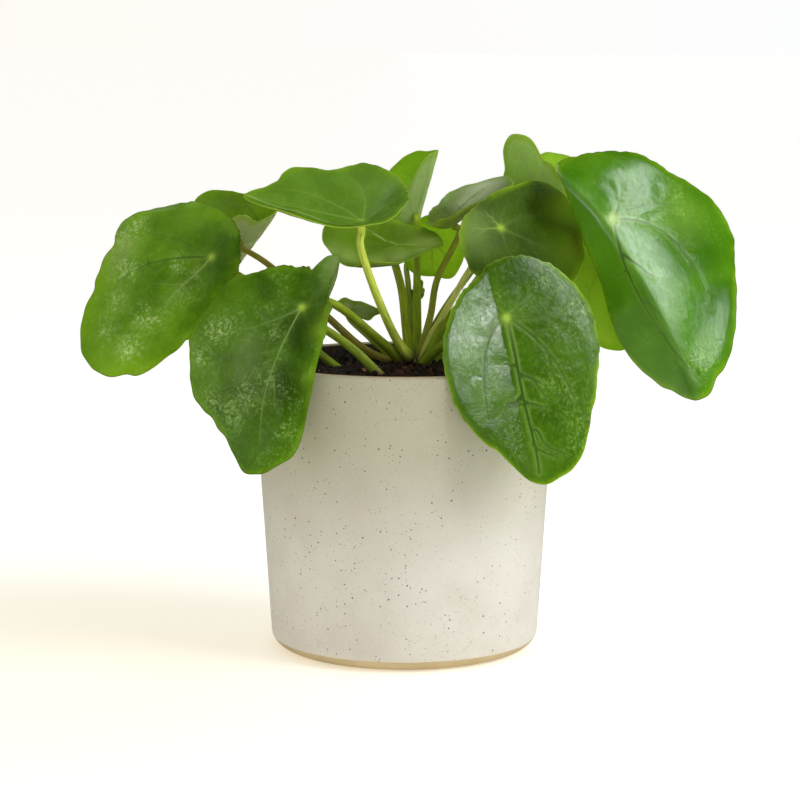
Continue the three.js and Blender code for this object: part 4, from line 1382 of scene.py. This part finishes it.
def build_soil():
    material = soil_material()
    build_soil_body(material)
    build_crumbs(material)


# Crown

def crown_material():
    material, tree = new_material("crown")
    bark = noise(tree, object_place(tree), *BARK_NOISE)
    paint = clouded(tree, bark.rise(0.35, 0.65), CROWN_BARK)
    show(tree, coated(tree, paint, bark, *CROWN_SURFACE))
    return material


def build_crown():
    """The knobbly crown, with ridges where the petioles leave it."""
    heights = np.linspace(CROWN_FOOT, CROWN_TOP, CROWN_RINGS)
    turn = 2 * np.pi * np.arange(CROWN_SIDES) / CROWN_SIDES
    down = (CROWN_TOP - heights) / (CROWN_TOP - CROWN_FOOT)
    dome = np.minimum(1, CROWN_DOME * np.sqrt(np.maximum(down, 0.002)))
    radius = CROWN_RADIUS * dome * (1 - CROWN_TAPER * np.maximum(down - 0.5, 0))
    count, rise, pitch = CROWN_RIDGES
    ridges = 1 + rise * np.sin(count * turn) * np.sin(heights * pitch)[:, None]
    ring = radius[:, None] * ridges
    middle_x, middle_y = CROWN_CENTRE
    x = middle_x + ring * np.cos(turn)
    y = middle_y + ring * np.sin(turn)
    points = np.stack(np.broadcast_arrays(x, y, heights[:, None]), -1).reshape(-1, 3)
    points = np.concatenate([points, [[*CROWN_CENTRE, CROWN_FOOT], [*CROWN_CENTRE, CROWN_TOP]]])
    faces = closed_faces(CROWN_RINGS, CROWN_SIDES)
    add_piece(mesh_object("crown_stem", points, faces, crown_material()), "crown")


# Stage, camera and light

def build_floor():
    """A plain pale floor, a little warmer to the left, with a painted warm shadow beside the pot."""
    material, tree = new_material("pale floor")
    place = object_place(tree)
    right, left, shadow_paint = FLOOR_AND_SHADOW_COLOURS
    across = signal(tree, "SeparateXYZ", "X", Vector=place)
    paint = clouded(tree, across.rise(*FLOOR_SIDES), (right, left))
    # Painted warm shadow on the floor beside the pot
    away = vector_calc(tree, "DISTANCE", "Value", place, PAINTED_SHADOW_PLACE)
    paint = painted(tree, away.rise(*PAINTED_SHADOW_REACH), paint, shadow_paint)
    show(tree, signal(
        tree, "BsdfPrincipled", "BSDF", Base_Color=paint, Roughness=FLOOR_ROUGHNESS,
        Specular_IOR_Level=FLOOR_GLOSS, Emission_Color=paint, Emission_Strength=FLOOR_GLOW,
    ))
    size = FLOOR_REACH
    corners = [(-size, -size, 0), (size, -size, 0), (size, size, 0), (-size, size, 0)]
    made = mesh_object("floor", corners, [(0, 1, 2, 3)], material)
    made.visible_glossy = False
    made.visible_shadow = False


def build_camera():
    data = bpy.data.cameras.new("camera")
    data.lens = CAMERA_LENS
    data.sensor_width = CAMERA_SENSOR
    data.clip_start, data.clip_end = CAMERA_CLIPS
    made = link_object("camera", data)
    made.location = [value * METRES for value in CAMERA_PLACE]
    made.rotation_euler = (math.radians(90 - CAMERA_DOWN_DEGREES), 0, 0)
    bpy.context.scene.camera = made


def area_light(name, place, size, roll, power, tint, diffuse):
    """A soft panel at a place, facing the plant. It may show in reflections alone."""
    data = bpy.data.lights.new(name, "AREA")
    data.shape = "RECTANGLE"
    data.size, data.size_y = size
    data.energy = power
    data.color = tint
    made = link_object(name, data)
    made.location = place
    way = np.asarray(LIT_POINT, float) - np.asarray(place, float)
    yaw = math.atan2(way[0], -way[1])
    tilt = math.acos(-way[2] / np.linalg.norm(way))
    turned = Matrix.Rotation(yaw + math.pi, 3, "Z") @ Matrix.Rotation(tilt, 3, "X")
    made.rotation_euler = (turned @ Matrix.Rotation(math.radians(roll), 3, "Z")).to_euler()
    made.visible_diffuse = diffuse
    made.visible_glossy = not diffuse


def build_lights():
    for name, values in LIGHTS.items():
        area_light(name, *values)


def build_world():
    """A soft white room: white where the camera sees it, dimmer where it lights, dark in reflections.

    It gives no light from under the floor, which lets the low windows' light through.
    """
    world = bpy.data.worlds.new("soft white room")
    bpy.context.scene.world = world
    world.use_nodes = True
    tree = world.node_tree
    path = add(tree, "LightPath")
    seen = Signal(path.outputs["Is Camera Ray"])
    strength = Signal(path.outputs["Is Glossy Ray"]) * (WORLD_REFLECTED - WORLD_LIGHTING) + WORLD_LIGHTING
    way = add(tree, "SeparateXYZ", Vector=signal(tree, "TexCoord", "Generated"))
    across, away, up = (Signal(way.outputs[axis]) for axis in "XYZ")
    tint = mixed(tree, across.rise(*WORLD_SIDES), WORLD_LEFT_TINT, WORLD_RIGHT_TINT)
    back = tree.nodes["Background"]
    feed(back.inputs["Color"], mixed(tree, away.rise(*WORLD_BEHIND), WORLD_TINT, tint))
    unseen = strength * up.rise(*WORLD_HORIZON) * (1 - seen)
    feed(back.inputs["Strength"], unseen + seen * WORLD_SEEN)


build_camera()
build_world()
build_lights()
build_floor()
build_pot()
build_soil()
build_crown()
for leaf_name in LEAVES:
    facts = leaf_facts(leaf_name)
    build_blade(facts)
    build_petiole(facts)

bpy.context.scene.view_settings.view_transform = "Standard"
